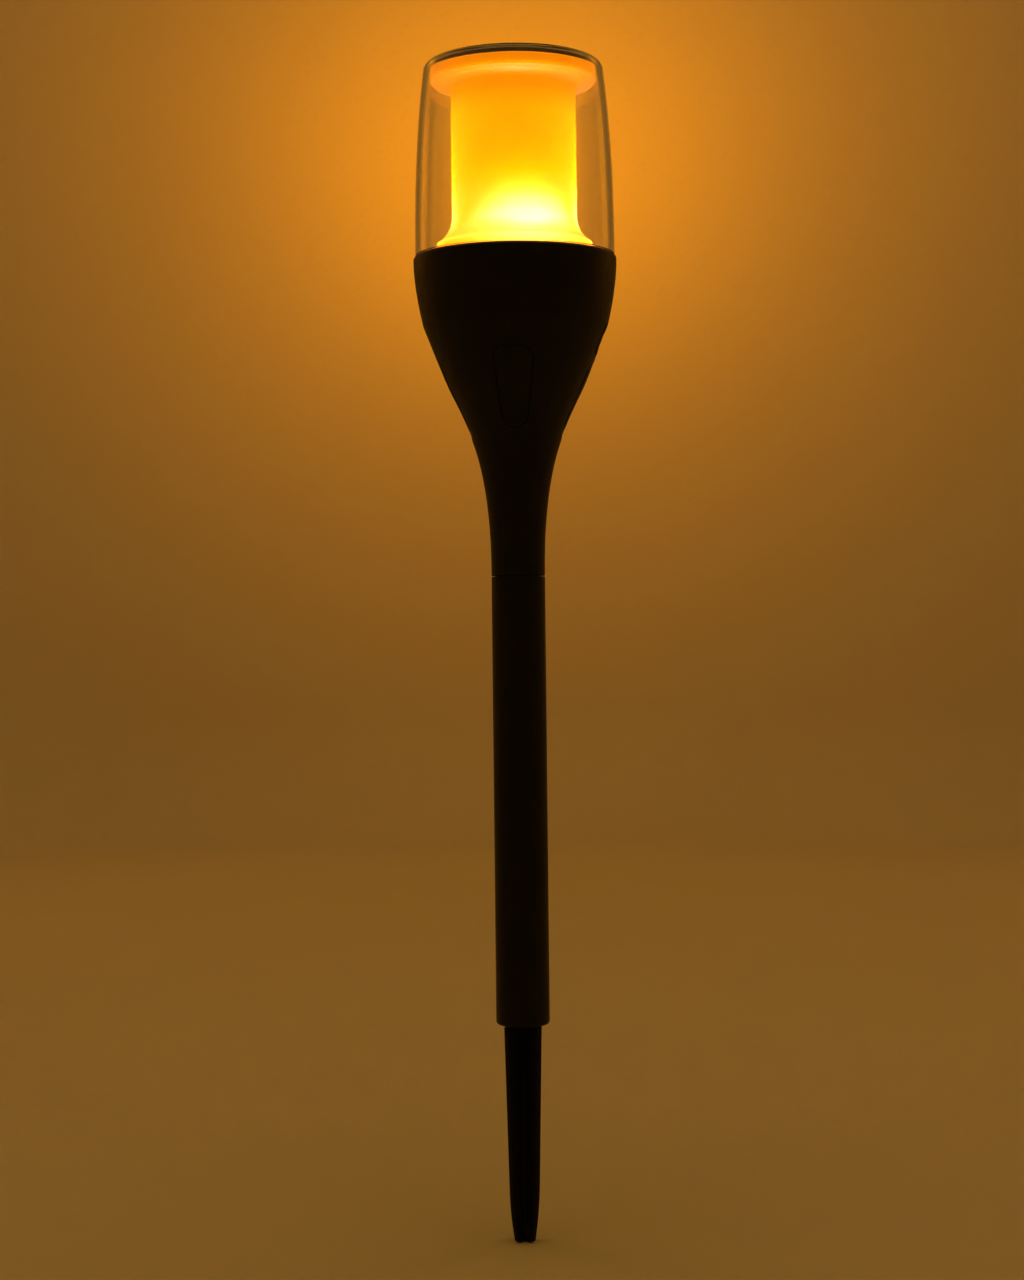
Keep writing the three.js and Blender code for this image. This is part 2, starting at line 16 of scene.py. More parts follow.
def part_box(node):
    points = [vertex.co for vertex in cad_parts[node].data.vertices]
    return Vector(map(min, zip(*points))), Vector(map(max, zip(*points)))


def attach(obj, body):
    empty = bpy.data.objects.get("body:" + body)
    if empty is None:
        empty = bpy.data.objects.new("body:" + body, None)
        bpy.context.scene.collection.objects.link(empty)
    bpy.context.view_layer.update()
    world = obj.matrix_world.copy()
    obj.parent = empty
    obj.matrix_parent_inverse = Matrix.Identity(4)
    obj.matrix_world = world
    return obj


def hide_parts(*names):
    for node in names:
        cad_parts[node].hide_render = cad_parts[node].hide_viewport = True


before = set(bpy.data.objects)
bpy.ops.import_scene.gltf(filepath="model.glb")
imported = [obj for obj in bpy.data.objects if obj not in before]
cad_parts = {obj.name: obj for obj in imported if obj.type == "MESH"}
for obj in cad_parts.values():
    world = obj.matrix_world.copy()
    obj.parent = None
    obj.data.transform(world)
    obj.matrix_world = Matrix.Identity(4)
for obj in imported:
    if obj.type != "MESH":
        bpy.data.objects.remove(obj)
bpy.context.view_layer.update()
scene = bpy.context.scene

MM = 0.001


def cad_box(node):
    """The lowest and highest corners of a CAD node, in millimetres."""
    low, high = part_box(node)
    return low / MM, high / MM


# ---------- camera ----------

CAMERA_DISTANCE = 0.92
CAMERA_HEIGHT = 0.24
CAMERA_TURN = math.radians(2.0)  # round the torch from its front towards +X
CAMERA_ROLL = math.radians(-0.616)
CAMERA_SIDESTEP = 0.0028  # the torch stands a little right of the picture's middle
CAMERA_SENSOR = 36  # millimetres
CAMERA_LENS = 64.7  # millimetres


def add_camera():
    """The camera, level, at about half the torch's height and looking at its front."""
    data = bpy.data.cameras.new("camera")
    data.sensor_width = CAMERA_SENSOR
    data.lens = CAMERA_LENS
    camera = bpy.data.objects.new("camera", data)
    scene.collection.objects.link(camera)
    turn = Matrix.Rotation(CAMERA_TURN, 4, "Z")
    raised = Matrix.Rotation(math.pi / 2, 4, "X")
    place = Matrix.Translation((-CAMERA_SIDESTEP, -CAMERA_DISTANCE, CAMERA_HEIGHT))
    camera.matrix_world = turn @ place @ raised @ Matrix.Rotation(CAMERA_ROLL, 4, "Z")
    scene.camera = camera
    scene.view_settings.view_transform = "Standard"


add_camera()

# ---------- driving dimensions ----------

ROUND_SIDES = 192
COVER_SIDES = 256
SMALL_SIDES = 48
GAP = 0.3
SHARP = math.radians(33)  # an edge that folds more than this stays crisp

pole_low, pole_high = cad_box("pole")
_, stake_high = cad_box("stake")
cup_low, cup_high = cad_box("torch_cup")
cover_low, cover_high = cad_box("clear_cover")
gasket_low, gasket_high = cad_box("cover_gasket")
diffuser_low, diffuser_high = cad_box("diffuser")
deck_low, deck_high = cad_box("lamp_deck")
bezel_low, bezel_high = cad_box("panel_frame")
cell_low, cell_high = cad_box("solar_cell")
led_low, led_high = cad_box("led")

POLE_BORE = 8.8
BLADE_HALF_THICKNESS = 1.2
SHOULDER = 265.6  # the head's shoulder, just above the pole's top
SPIGOT = 8.5
SPIGOT_BORE = 6.8
RIM_ROUNDING = 1.5
FLANK_TILT = math.radians(23.6)
FLANK_STOPS = [(18.3, 322), (22.35, 331.2), (27.05, 340.8), (31, 350.4), (34.55, 359.4), (36.9, 365.4)]
INLAY_THICKNESS = 1.2
INLAY_MIDDLE = 338.9
INLAY_RADIUS = 26.2
INLAY_BOTTOM = 323.1
INLAY_TOP = 353.4
SHORT_INLAY_TOP = 348.2
INLAY_TOP_WIDTH = 15.4
INLAY_BOTTOM_WIDTH = 10.1
INLAY_CORNER = 5
BUTTON_RADIUS = 34.3
BUTTON_HEIGHT = 359.2
BUTTON_TILT = math.radians(22)
BUTTON_SIZE = (15, 12.8)
BUTTON_CORNER = 3.5
LIP = 0.12  # the small chamfer round every opening in the head
SCREW_CIRCLE = 33.9
SCREW_TURNS = [math.radians(degrees) for degrees in (60, 180, 300)]
DECK_SCREW_SPOTS = [(SCREW_CIRCLE * math.cos(turn), SCREW_CIRCLE * math.sin(turn)) for turn in SCREW_TURNS]
HOLDER_SCREW_SPOTS = [(0, 13), (0, -13)]
BOARD_SCREW_SPOTS = [(-13, -10), (13, 10)]
PILOT = 1.5
COLUMN_RADIUS = 24.9
COLUMN_BOTTOM = 408.8
FLARE_RADIUS = 12.8
CELL_CUT_CORNER = 6

# ---------- outlines, as (radius, height) or flat (across, up) points ----------


def arc(r, z, radius, start, finish, steps):
    """Points of a circular arc, from one angle to another in degrees."""
    turns = [math.radians(start + (finish - start) * i / steps) for i in range(steps + 1)]
    return [Vector((r + radius * math.cos(turn), z + radius * math.sin(turn))) for turn in turns]


def path(*corners):
    """Points from plain pairs of numbers."""
    return [Vector(corner) for corner in corners]


def upright(radius, start, end, steps):
    """The points between the ends of a straight side at one radius."""
    return [Vector((radius, start + (end - start) * i / steps)) for i in range(1, steps)]


def bend(first, pull, last, steps):
    """Points of a smooth bend from one point to another, drawn towards a third."""
    points = []
    for i in range(steps + 1):
        t = i / steps
        spot = Vector(first) * (1 - t) ** 2 + Vector(pull) * 2 * t * (1 - t) + Vector(last) * t * t
        points.append(spot)
    return points


def smooth_curve(stops, steps):
    """Points of a smooth curve through stops, with so many steps on each stretch."""
    spots = [Vector(stop) for stop in stops]
    ends = len(spots) - 1
    points = [spots[0]]
    for i in range(ends):
        before, here, there, after = spots[max(i - 1, 0)], spots[i], spots[i + 1], spots[min(i + 2, ends)]
        leave = (there - before) / 2
        arrive = (after - here) / 2
        for step in range(1, steps + 1):
            t = step / steps
            cubic = (2 * here - 2 * there + leave + arrive) * t ** 3
            square = (3 * there - 3 * here - 2 * leave - arrive) * t ** 2
            points.append(cubic + square + leave * t + here)
    return points


def softened(corners, steps=3):
    """An outline whose corners (radius, height, rounding) become small bends between two support points."""
    support = 1.6
    points = []
    for i, (r, z, rounding) in enumerate(corners):
        here = Vector((r, z))
        if rounding == 0:
            points.append(here)
            continue
        back = (Vector(corners[i - 1][:2]) - here).normalized() * rounding
        onward = (Vector(corners[(i + 1) % len(corners)][:2]) - here).normalized() * rounding
        points.append(here + back * support)
        points += bend(here + back, here, here + onward, steps)
        points.append(here + onward * support)
    return points


def rounded_rectangle(width, height, radius):
    """A rectangle's loop with rounded corners, with the same number of points whatever its size."""
    x = width / 2 - radius
    y = height / 2 - radius
    steps = 8
    loop = []
    for turn, (middle_x, middle_y) in enumerate([(x, y), (-x, y), (-x, -y), (x, -y)]):
        loop += arc(middle_x, middle_y, radius, 90 * turn, 90 * turn + 90, steps)
    return filled(loop, 6, 3 * radius * math.sin(math.radians(45 / steps)))


def filled(loop, steps, longest):
    """A loop with its longer straight sides split into steps."""
    points = []
    for here, there in zip(loop, loop[1:] + loop[:1]):
        points.append(here)
        if (there - here).length > longest:
            points += [here.lerp(there, i / steps) for i in range(1, steps)]
    return points


def grown(loop, margin):
    """A flat anticlockwise loop moved outwards by a margin."""
    points = []
    for i, here in enumerate(loop):
        before = (here - loop[i - 1]).normalized()
        after = (loop[(i + 1) % len(loop)] - here).normalized()
        along = (before + after).normalized()
        points.append(here + Vector((along.y, -along.x)) * margin)
    return points


# ---------- meshes ----------


def lofted(loops, first=None, last=None):
    """A closed mesh through loops of points. Its ends close at two points, or else join each other."""
    shape = bmesh.new()
    rings = [[shape.verts.new(spot) for spot in loop] for loop in loops]
    count = len(rings[0])
    pairs = list(zip(rings, rings[1:]))
    if first is None:
        pairs.append((rings[-1], rings[0]))
    for lower, upper in pairs:
        for i in range(count):
            j = (i + 1) % count
            shape.faces.new((lower[i], lower[j], upper[j], upper[i]))
    if first is not None:
        for ring, tip in ((rings[0], first), (rings[-1], last)):
            middle = shape.verts.new(tip)
            for i in range(count):
                shape.faces.new((ring[i], ring[(i + 1) % count], middle))
    bmesh.ops.recalc_face_normals(shape, faces=shape.faces)
    mesh = bpy.data.meshes.new("shape")
    shape.to_mesh(mesh)
    shape.free()
    return mesh


def turned(outline, sides=ROUND_SIDES):
    """A closed mesh turned about Z: a solid if its outline starts and ends on the axis, or else a ring."""
    turns = [2 * math.pi * i / sides for i in range(sides)]
    on_axis = outline[0][0] == 0
    spots = outline[1:-1] if on_axis else outline
    loops = [[(r * math.cos(turn), r * math.sin(turn), z) for turn in turns] for r, z in spots]
    if on_axis:
        return lofted(loops, (0, 0, outline[0][1]), (0, 0, outline[-1][1]))
    return lofted(loops)


def rod(radius, bottom, top, x=0, y=0, sides=SMALL_SIDES):
    """An upright cylinder between two heights."""
    outline = path((0, bottom), (radius, bottom), (radius, top), (0, top))
    mesh = turned(outline, sides)
    mesh.transform(Matrix.Translation((x, y, 0)))
    return mesh


def prism(loop, bottom, top):
    """A flat loop given thickness between two heights, with its edges softened."""
    soft = 0.06
    layers = [(-soft, bottom), (0, bottom + soft), (0, top - soft), (-soft, top)]
    loops = [[(x, y, z) for x, y in grown(loop, margin)] for margin, z in layers]
    return lofted(loops, (0, 0, bottom), (0, 0, top))


def combined(base, others, operation):
    """A mesh with others added to it or cut away from it."""
    subject = bpy.data.objects.new("subject", base)
    scene.collection.objects.link(subject)
    helpers = []
    for other in others:
        helper = bpy.data.objects.new("helper", other)
        scene.collection.objects.link(helper)
        helpers.append(helper)
        step = subject.modifiers.new("step", "BOOLEAN")
        step.operation = operation
        step.solver = "EXACT"
        step.object = helper
    whole = subject.evaluated_get(bpy.context.evaluated_depsgraph_get())
    result = bpy.data.meshes.new_from_object(whole)
    for used in [subject, *helpers]:
        bpy.data.objects.remove(used)
    return result


def added(base, others):
    """A mesh with others joined to it."""
    return combined(base, others, "UNION")


def cut(base, others):
    """A mesh with others cut away from it."""
    return combined(base, others, "DIFFERENCE")


def add_piece(name, mesh, body, slot, *nodes):
    """Adds a piece that rides on a body, takes a slot's finish and stands for CAD nodes."""
    mesh.transform(Matrix.Scale(MM, 4))
    shape = bmesh.new()
    shape.from_mesh(mesh)
    for face in shape.faces:
        face.smooth = True
    for edge in shape.edges:
        edge.smooth = len(edge.link_faces) == 2 and edge.calc_face_angle() < SHARP
    shape.to_mesh(mesh)
    shape.free()
    mesh.materials.clear()
    mesh.materials.append(finishes[slot])
    piece = bpy.data.objects.new(name, mesh)
    scene.collection.objects.link(piece)
    even = piece.modifiers.new("even_normals", "WEIGHTED_NORMAL")
    even.keep_sharp = True
    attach(piece, body)
    if nodes:
        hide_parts(*nodes)


# ---------- materials ----------


class Finish:
    """A material being written: its main shader, and short ways to add patterns in real sizes."""

    def __init__(self, name, **settings):
        self.material = bpy.data.materials.new(name)
        self.material.use_nodes = True
        self.tree = self.material.node_tree
        self.shader = self.tree.nodes["Principled BSDF"]
        self.place = self.tree.nodes.new("ShaderNodeTexCoord").outputs["Object"]
        for socket, value in settings.items():
            self.shader.inputs[socket.replace("_", " ")].default_value = value

    def feed(self, target, source):
        """Links a socket to another, or gives it a value or colour."""
        if isinstance(source, bpy.types.NodeSocket):
            self.tree.links.new(source, target)
        elif target.type == "RGBA":
            target.default_value = (*source, 1)
        else:
            target.default_value = source

    def node(self, kind, **wires):
        """Adds a node and feeds its sockets."""
        node = self.tree.nodes.new("ShaderNode" + kind)
        for socket, source in wires.items():
            self.feed(node.inputs[socket], source)
        return node

    def wire(self, socket, source):
        """Feeds one of the main shader's sockets."""
        self.tree.links.new(source, self.shader.inputs[socket])

    def gloss(self, pattern, low, high):
        """Carries the shader's roughness from low to high with the middle of a pattern's range."""
        self.wire("Roughness", self.span(pattern, 0.3, 0.7, low, high))

    def height(self):
        """The height above the stake's tip, in metres."""
        return self.node("SeparateXYZ", Vector=self.place).outputs["Z"]

    def stretched(self, x, y, z):
        """The place on the object with its axes scaled."""
        return self.node("Mapping", Vector=self.place, Scale=(x, y, z)).outputs["Vector"]

    def clouds(self, size, detail=2.0, place=None):
        """A cloudy pattern, 0 to 1, whose patches are so many millimetres across."""
        scale = 1 / (size * MM)
        return self.node("TexNoise", Vector=place or self.place, Scale=scale, Detail=detail).outputs["Fac"]

    def cells(self, size, output="Distance"):
        """A pattern of scattered cells so many millimetres apart."""
        return self.node("TexVoronoi", Vector=self.place, Scale=1 / (size * MM)).outputs[output]

    def span(self, value, low, high, to_low, to_high):
        """A value carried from one range to another, and held at its ends."""
        node = self.node("MapRange", Value=value)
        for socket, number in zip(("From Min", "From Max", "To Min", "To Max"), (low, high, to_low, to_high)):
            node.inputs[socket].default_value = number
        return node.outputs["Result"]

    def sum(self, operation, first, second):
        """Two values through one sum."""
        node = self.tree.nodes.new("ShaderNodeMath")
        node.operation = operation
        self.feed(node.inputs[0], first)
        self.feed(node.inputs[1], second)
        return node.outputs["Value"]

    def shades(self, value, *stops):
        """A colour picked along a scale of (position, colour) stops."""
        ramp = self.node("ValToRGB", Fac=value)
        scale = ramp.color_ramp.elements
        while len(scale) < len(stops):
            scale.new(1)
        for mark, (position, color) in zip(scale, stops):
            mark.position = position
            mark.color = (*color, 1)
        return ramp.outputs["Color"]

    def mottled(self, size, detail, dark, light, high=0.8):
        """Two tones in clouds so many millimetres across."""
        return self.shades(self.clouds(size, detail), (0.3, dark), (high, light))

    def blended(self, amount, first, second):
        """Two colours mixed by an amount."""
        node = self.tree.nodes.new("ShaderNodeMix")
        node.data_type = "RGBA"
        self.feed(node.inputs[0], amount)
        self.feed(node.inputs[6], first)
        self.feed(node.inputs[7], second)
        return node.outputs[2]

    def relief(self, height, depth, under=None):
        """Surface relief from a 0 to 1 height, so many millimetres deep."""
        bump = self.node("Bump", Height=height, Distance=depth * MM)
        if under is not None:
            self.tree.links.new(under, bump.inputs["Normal"])
        return bump.outputs["Normal"]

    def let_light_through(self, tint):
        """Lets lamps shine straight through, as the eye would see through thin plastic."""
        output = self.tree.nodes["Material Output"]
        shadow = self.node("LightPath").outputs["Is Shadow Ray"]
        clear = self.node("BsdfTransparent", Color=tint)
        mixer = self.tree.nodes.new("ShaderNodeMixShader")
        for target, source in zip(mixer.inputs, (shadow, self.shader.outputs[0], clear.outputs[0])):
            self.feed(target, source)
        self.feed(output.inputs["Surface"], mixer.outputs[0])


def moulded(name, dark, light, smoothness, grain, depth, streak=1.0, **settings):
    """Moulded plastic or rubber: clouded colour, a fine grain, patchy gloss and a few specks of dust."""
    finish = Finish(name, **settings)
    along = finish.stretched(1, 1, streak)
    tone = finish.mottled(14, 4, dark, light, 0.75)
    speck = finish.span(finish.cells(2.6), 0.03, 0.07, 1, 0)
    sparse = finish.span(finish.clouds(5), 0.56, 0.62, 0, 0.05)
    finish.wire("Base Color", finish.blended(finish.sum("MULTIPLY", speck, sparse), tone, (0.32, 0.29, 0.25)))
    patches = finish.clouds(3.5, 5, along)
    finish.gloss(patches, *smoothness)
    fine = finish.relief(finish.clouds(grain, 3, along), depth)
    finish.wire("Normal", finish.relief(finish.clouds(22, 1), 0.05, fine))
    return finish.material


def stake_plastic():
    """The stake's plastic, with long scuffs that are strongest near its tip."""
    finish = Finish("stake_plastic", Specular_IOR_Level=0.16)
    height = finish.height()
    low_down = finish.span(height, 0.004, 0.075, 1, 0.12)
    scuffs = finish.span(finish.clouds(0.5, 4, finish.stretched(1, 1, 0.06)), 0.52, 0.75, 0, 1)
    worn = finish.sum("MULTIPLY", low_down, scuffs)
    tone = finish.mottled(12, 4, (0.002, 0.002, 0.0021), (0.004, 0.0039, 0.0038), 0.75)
    finish.wire("Base Color", finish.blended(worn, tone, (0.018, 0.017, 0.015)))
    finish.gloss(finish.clouds(2.5, 4), 0.46, 0.62)
    grain = finish.relief(finish.clouds(0.3, 3), 0.012)
    finish.wire("Normal", finish.relief(scuffs, 0.015, grain))
    return finish.material


def clear_plastic():
    """Clear moulded plastic with faint smears, hairline scratches and slight waves from the mould."""
    finish = Finish("clear_plastic", Base_Color=(0.985, 0.98, 0.97, 1), Transmission_Weight=1.0, IOR=1.49,
                    Specular_IOR_Level=0.5)
    smears = finish.span(finish.clouds(9, 5, finish.stretched(1, 1, 0.5)), 0.5, 0.8, 0, 0.03)
    specks = finish.span(finish.cells(3.4), 0.02, 0.05, 0.4, 0)
    sparse = finish.span(finish.clouds(6), 0.55, 0.6, 0, 1)
    marks = finish.sum("MULTIPLY", specks, sparse)
    finish.wire("Roughness", finish.sum("ADD", finish.sum("ADD", smears, marks), 0.012))
    hairlines = finish.span(finish.clouds(0.7, 2, finish.stretched(1, 1, 0.08)), 0.66, 0.7, 0, 1)
    waves = finish.relief(finish.clouds(16, 1), 0.03)
    finish.wire("Normal", finish.relief(hairlines, 0.0015, waves))
    finish.let_light_through((0.95, 0.95, 0.94))
    return finish.material


LAMP = Vector(((led_low.x + led_high.x) / 2, 0, led_low.z + 2.9)) * MM  # the middle of the lamp's light
LAMP_BAND = 0.018  # how far above and below the lamp its white light gets through, in metres


def frosted_plastic():
    """Frosted plastic: the lamp shines through it, and a painted glow stands in for its scattered light,
    even, a little less at its dish.
    """
    finish = Finish("frosted_plastic", Transmission_Weight=1.0, IOR=1.8, Specular_Tint=(1, 0.5, 0, 1),
                    Emission_Color=(1, 0.25, 0, 1))
    height = finish.height()
    # Painted glow: the emission stands in for the lamp's light scattered in the frosted wall, weaker at the
    # dish.
    painted_glow_at_dish = finish.span(height, 0.457, 0.4665, 1, 0.76)
    cloudy = finish.span(finish.clouds(7, 4), 0.2, 0.8, 0.95, 1.05)
    finish.wire("Emission Strength", finish.sum("MULTIPLY", painted_glow_at_dish, cloudy))
    # The base colour tints the lamp's light that gets through the wall. Beside the lamp's height it also
    # passes some white light, a band of painted highlight that holds the real white core to that height.
    above_lamp = finish.sum("SUBTRACT", height, LAMP.z - 0.001)
    near_lamp = finish.span(finish.sum("ABSOLUTE", above_lamp, 0), 0, LAMP_BAND, 1, 0)
    beside_lamp = finish.sum("MULTIPLY", near_lamp, near_lamp)
    amber = finish.mottled(10, 3, (0.11, 0.055, 0), (0.13, 0.065, 0))
    tint = finish.blended(beside_lamp, amber, (0.12, 0.06, 0.0012))
    # Painted shade: the base colour goes dark at the dish, so the lamp's light hardly shows there.
    painted_shade_at_dish = finish.span(height, 0.447, 0.456, 0, 0.9)
    finish.wire("Base Color", finish.blended(painted_shade_at_dish, tint, (0, 0, 0)))
    finish.gloss(finish.clouds(2, 4), 0.54, 0.6)
    finish.wire("Normal", finish.relief(finish.clouds(0.5, 3), 0.012))
    finish.let_light_through((0.8, 0.74, 0.6))
    return finish.material


def led_resin():
    """The LED's lens: warm, slightly clear and lit."""
    finish = Finish("led_resin", Transmission_Weight=0.3, Emission_Color=(1, 0.5, 0.12, 1))
    finish.wire("Base Color", finish.mottled(2, 2, (0.9, 0.75, 0.45), (0.95, 0.85, 0.6)))
    finish.gloss(finish.clouds(0.6, 3), 0.1, 0.25)
    finish.wire("Emission Strength", finish.span(finish.clouds(3, 1), 0.3, 0.7, 5.5, 6.5))
    return finish.material


def solar_cell():
    """Dark blue silicon under a clear gloss layer, with a faint crystal grain."""
    finish = Finish("solar_cell", Coat_Weight=0.8, Coat_Roughness=0.08, Specular_IOR_Level=0.6)
    grain = finish.cells(1.6, "Color")
    tone = finish.shades(grain, (0.1, (0.006, 0.008, 0.026)), (0.9, (0.011, 0.017, 0.055)))
    broad = finish.mottled(16, 2, (0.004, 0.006, 0.02), (0.013, 0.02, 0.06))
    finish.wire("Base Color", finish.blended(0.5, tone, broad))
    finish.wire("Roughness", finish.span(grain, 0, 1, 0.22, 0.34))
    finish.wire("Normal", finish.relief(finish.clouds(0.3, 2), 0.003))
    return finish.material


def laminate():
    """Green circuit laminate: solder mask over a woven glass ground."""
    finish = Finish("circuit_laminate", Coat_Weight=0.4, Coat_Roughness=0.2)
    weave = finish.node("TexChecker", Vector=finish.place, Scale=1 / (0.9 * MM))
    tone = finish.mottled(5, 3, (0.008, 0.07, 0.025), (0.014, 0.11, 0.04))
    threads = finish.span(weave.outputs["Fac"], 0, 1, 0, 0.12)
    finish.wire("Base Color", finish.blended(threads, tone, (0.03, 0.16, 0.06)))
    finish.gloss(finish.clouds(1.5, 3), 0.3, 0.45)
    finish.wire("Normal", finish.relief(weave.outputs["Fac"], 0.01))
    return finish.material


def metal(name, dark, light, smoothness, scratch):
    """Plated steel with fine scratches."""
    finish = Finish(name, Metallic=1.0)
    finish.wire("Base Color", finish.mottled(2, 4, dark, light, 0.75))
    lines = finish.clouds(scratch, 4, finish.stretched(1, 0.15, 1))
    finish.gloss(lines, *smoothness)
    finish.wire("Normal", finish.relief(lines, 0.006))
    return finish.material


def battery_can():
    """A rechargeable cell's printed sleeve, plain green with a pale band near its top."""
    finish = Finish("battery_can", Coat_Weight=0.3, Coat_Roughness=0.15)
    height = finish.height()
    over_foot = finish.span(height, 0.3700, 0.3702, 0, 1)
    under_top = finish.span(height, 0.3758, 0.376, 1, 0)
    band = finish.sum("MULTIPLY", over_foot, under_top)
    tone = finish.mottled(6, 3, (0.03, 0.13, 0.06), (0.045, 0.17, 0.08))
    finish.wire("Base Color", finish.blended(band, tone, (0.62, 0.6, 0.55)))
    finish.gloss(finish.clouds(1.5, 4), 0.28, 0.4)
    finish.wire("Normal", finish.relief(finish.clouds(1.2, 3), 0.008))
    return finish.material


def grey(level, warmth=0.0):
    """A grey of a level, warmed towards red if asked."""
    return (level * (1 + warmth), level, level * (1 - warmth))


# Each moulded finish: dark and light tone, least and most roughness, grain size and depth in millimetres.
MOULDED = {
    "seal_rubber": (grey(0.008), grey(0.012), (0.6, 0.75), 0.3, 0.01),
    "deck_plastic": (grey(0.012), grey(0.018), (0.45, 0.58), 0.35, 0.015),
    "panel_frame_plastic": (grey(0.006), grey(0.009), (0.28, 0.38), 0.25, 0.006),
    "white_plastic": (grey(0.68, 0.02), grey(0.78, 0.01), (0.4, 0.52), 0.3, 0.01),
    "chip_plastic": (grey(0.012), grey(0.02), (0.45, 0.6), 0.15, 0.008),
    "coil_ferrite": (grey(0.018), grey(0.035), (0.5, 0.7), 0.2, 0.015),
    "holder_plastic": (grey(0.014), grey(0.022), (0.45, 0.6), 0.3, 0.012),
    "red_wire": ((0.3, 0.008, 0.008), (0.42, 0.014, 0.012), (0.35, 0.5), 0.4, 0.006),
    "black_wire": (grey(0.01), grey(0.016), (0.35, 0.5), 0.4, 0.006),
    "switch_plastic": (grey(0.02), grey(0.03), (0.4, 0.55), 0.2, 0.01),
}
SHELL_TONES = (grey(0.0028), grey(0.0042))
PAD_TONES = (grey(0.0075), grey(0.0095))

finishes = {name: moulded(name, *settings) for name, settings in MOULDED.items()}
finishes |= {
    "black_plastic": moulded("black_plastic", *SHELL_TONES, (0.42, 0.54), 0.32, 0.014,
                             Specular_IOR_Level=0.22),
    "pole_plastic": moulded("pole_plastic", *SHELL_TONES, (0.4, 0.5), 0.28, 0.009, streak=0.12,
                            Specular_IOR_Level=0.2),
    "inlay_rubber": moulded("inlay_rubber", *PAD_TONES, (0.72, 0.84), 0.22, 0.012, Specular_IOR_Level=0.25),
    "button_rubber": moulded("button_rubber", *PAD_TONES, (0.7, 0.82), 0.22, 0.012, Specular_IOR_Level=0.25),
    "screw_steel": metal("screw_steel", grey(0.42), grey(0.6), (0.25, 0.42), 0.3),
    "contact_steel": metal("contact_steel", grey(0.55), grey(0.7), (0.2, 0.35), 0.4),
    "stake_plastic": stake_plastic(),
    "clear_plastic": clear_plastic(),
    "frosted_plastic": frosted_plastic(),
    "solar_cell": solar_cell(),
    "circuit_laminate": laminate(),
    "led_resin": led_resin(),
    "battery_can": battery_can(),
}

# ---------- ground stake and pole ----------

TIP_STOPS = [(3.7, 0), (4.4, 0.12), (4.75, 0.5), (5, 1.2)]  # half width and height, up the rounded tip
BLADE_BEND = [(5.9, 6.1), (7.14, 12.8), (7.42, 22)]  # the same, from the tip to the straight blade
BLADE_HALF_WIDTH = 9.4
PLUG_HALF_WIDTH = 8.35
PLUG_DISC = (87.4, 89.8)  # the heights of the disc on the plug that the spigot sits over
POLE_ROUNDING = 1.6
POLE_TOP_ROUNDING = 0.38
BORE_CHAMFER = 0.15


def cross_loop(reach, half, z):
    """The stake's cross-shaped section: four arms with rounded edges and small fillets between them."""
    edge = 0.35
    fillet = 0.7
    foot = half + fillet
    arm = path((foot, -half))
    arm += arc(reach - edge, edge - half, edge, -90, 0, 4)
    arm += arc(reach - edge, half - edge, edge, 0, 90, 4)
    arm += arc(foot, foot, fillet, 270, 180, 4)[:-1]
    loop = []
    for quarter in range(4):
        turn = math.radians(45 + 90 * quarter)
        for along, aside in arm:
            x = along * math.cos(turn) - aside * math.sin(turn)
            y = along * math.sin(turn) + aside * math.cos(turn)
            loop.append((x, y, z))
    return loop


def stake_mesh():
    """The stake: crossed blades that widen from a blunt tip, then a narrower plug that goes up the pole."""
    shoulder = pole_low.z - GAP
    top = stake_high.z
    levels = [*TIP_STOPS, *bend(*BLADE_BEND, 8)]
    levels += [(BLADE_HALF_WIDTH - 0.02, shoulder - 0.8), (BLADE_HALF_WIDTH, shoulder - 0.2)]
    levels += [(BLADE_HALF_WIDTH - 0.2, shoulder), (PLUG_HALF_WIDTH, shoulder), (PLUG_HALF_WIDTH, top - 2)]
    levels += [(PLUG_HALF_WIDTH - 0.3, top - 0.9), (PLUG_HALF_WIDTH - 1, top)]
    loops = []
    for reach, z in levels:
        half = BLADE_HALF_THICKNESS - max(0, 0.25 - z) * 0.8
        loops.append(cross_loop(reach, half, z))
    blades = lofted(loops, (0, 0, 0), (0, 0, top))
    low, high = PLUG_DISC
    disc = turned(softened([(0, low, 0), (SPIGOT, low, 0.25), (SPIGOT, high, 0.25), (0, high, 0)]), 96)
    return added(blades, [disc])


def pole_mesh():
    """The pole: a plain tube, rounded under its foot and slightly at its top."""
    low = pole_low.z
    high = pole_high.z
    radius = pole_high.x
    outline = path((POLE_BORE + BORE_CHAMFER, low))
    outline += arc(radius - POLE_ROUNDING, low + POLE_ROUNDING, POLE_ROUNDING, -90, 0, 10)
    outline += path((radius, low + 2.2))
    outline += upright(radius, low, high, 12)
    outline += path((radius, high - 0.8))
    outline += bend((radius, high - POLE_TOP_ROUNDING), (radius, high), (radius - POLE_TOP_ROUNDING, high), 4)
    outline += path((POLE_BORE + BORE_CHAMFER, high), (POLE_BORE, high - BORE_CHAMFER))
    outline += path((POLE_BORE, high - 1), (POLE_BORE, low + 1), (POLE_BORE, low + BORE_CHAMFER))
    return turned(outline)


add_piece("stake_blades", stake_mesh(), "ground_stake", "stake_plastic", "stake")
add_piece("pole_tube", pole_mesh(), "pole", "pole_plastic", "pole")

# ---------- the head's flank and what lies in it ----------

flank = smooth_curve(FLANK_STOPS, 8)
flank_heights = [spot.y for spot in flank]


def flank_radius(height, depth):
    """The flank's radius at a height, at a depth square to it. Past its ends it runs on straight."""
    z = height - depth * math.sin(FLANK_TILT)
    i = min(max(bisect.bisect(flank_heights, z), 1), len(flank) - 1)
    low, high = flank[i - 1], flank[i]
    return low.x + (z - low.y) * (high.x - low.x) / (high.y - low.y) - depth * math.cos(FLANK_TILT)


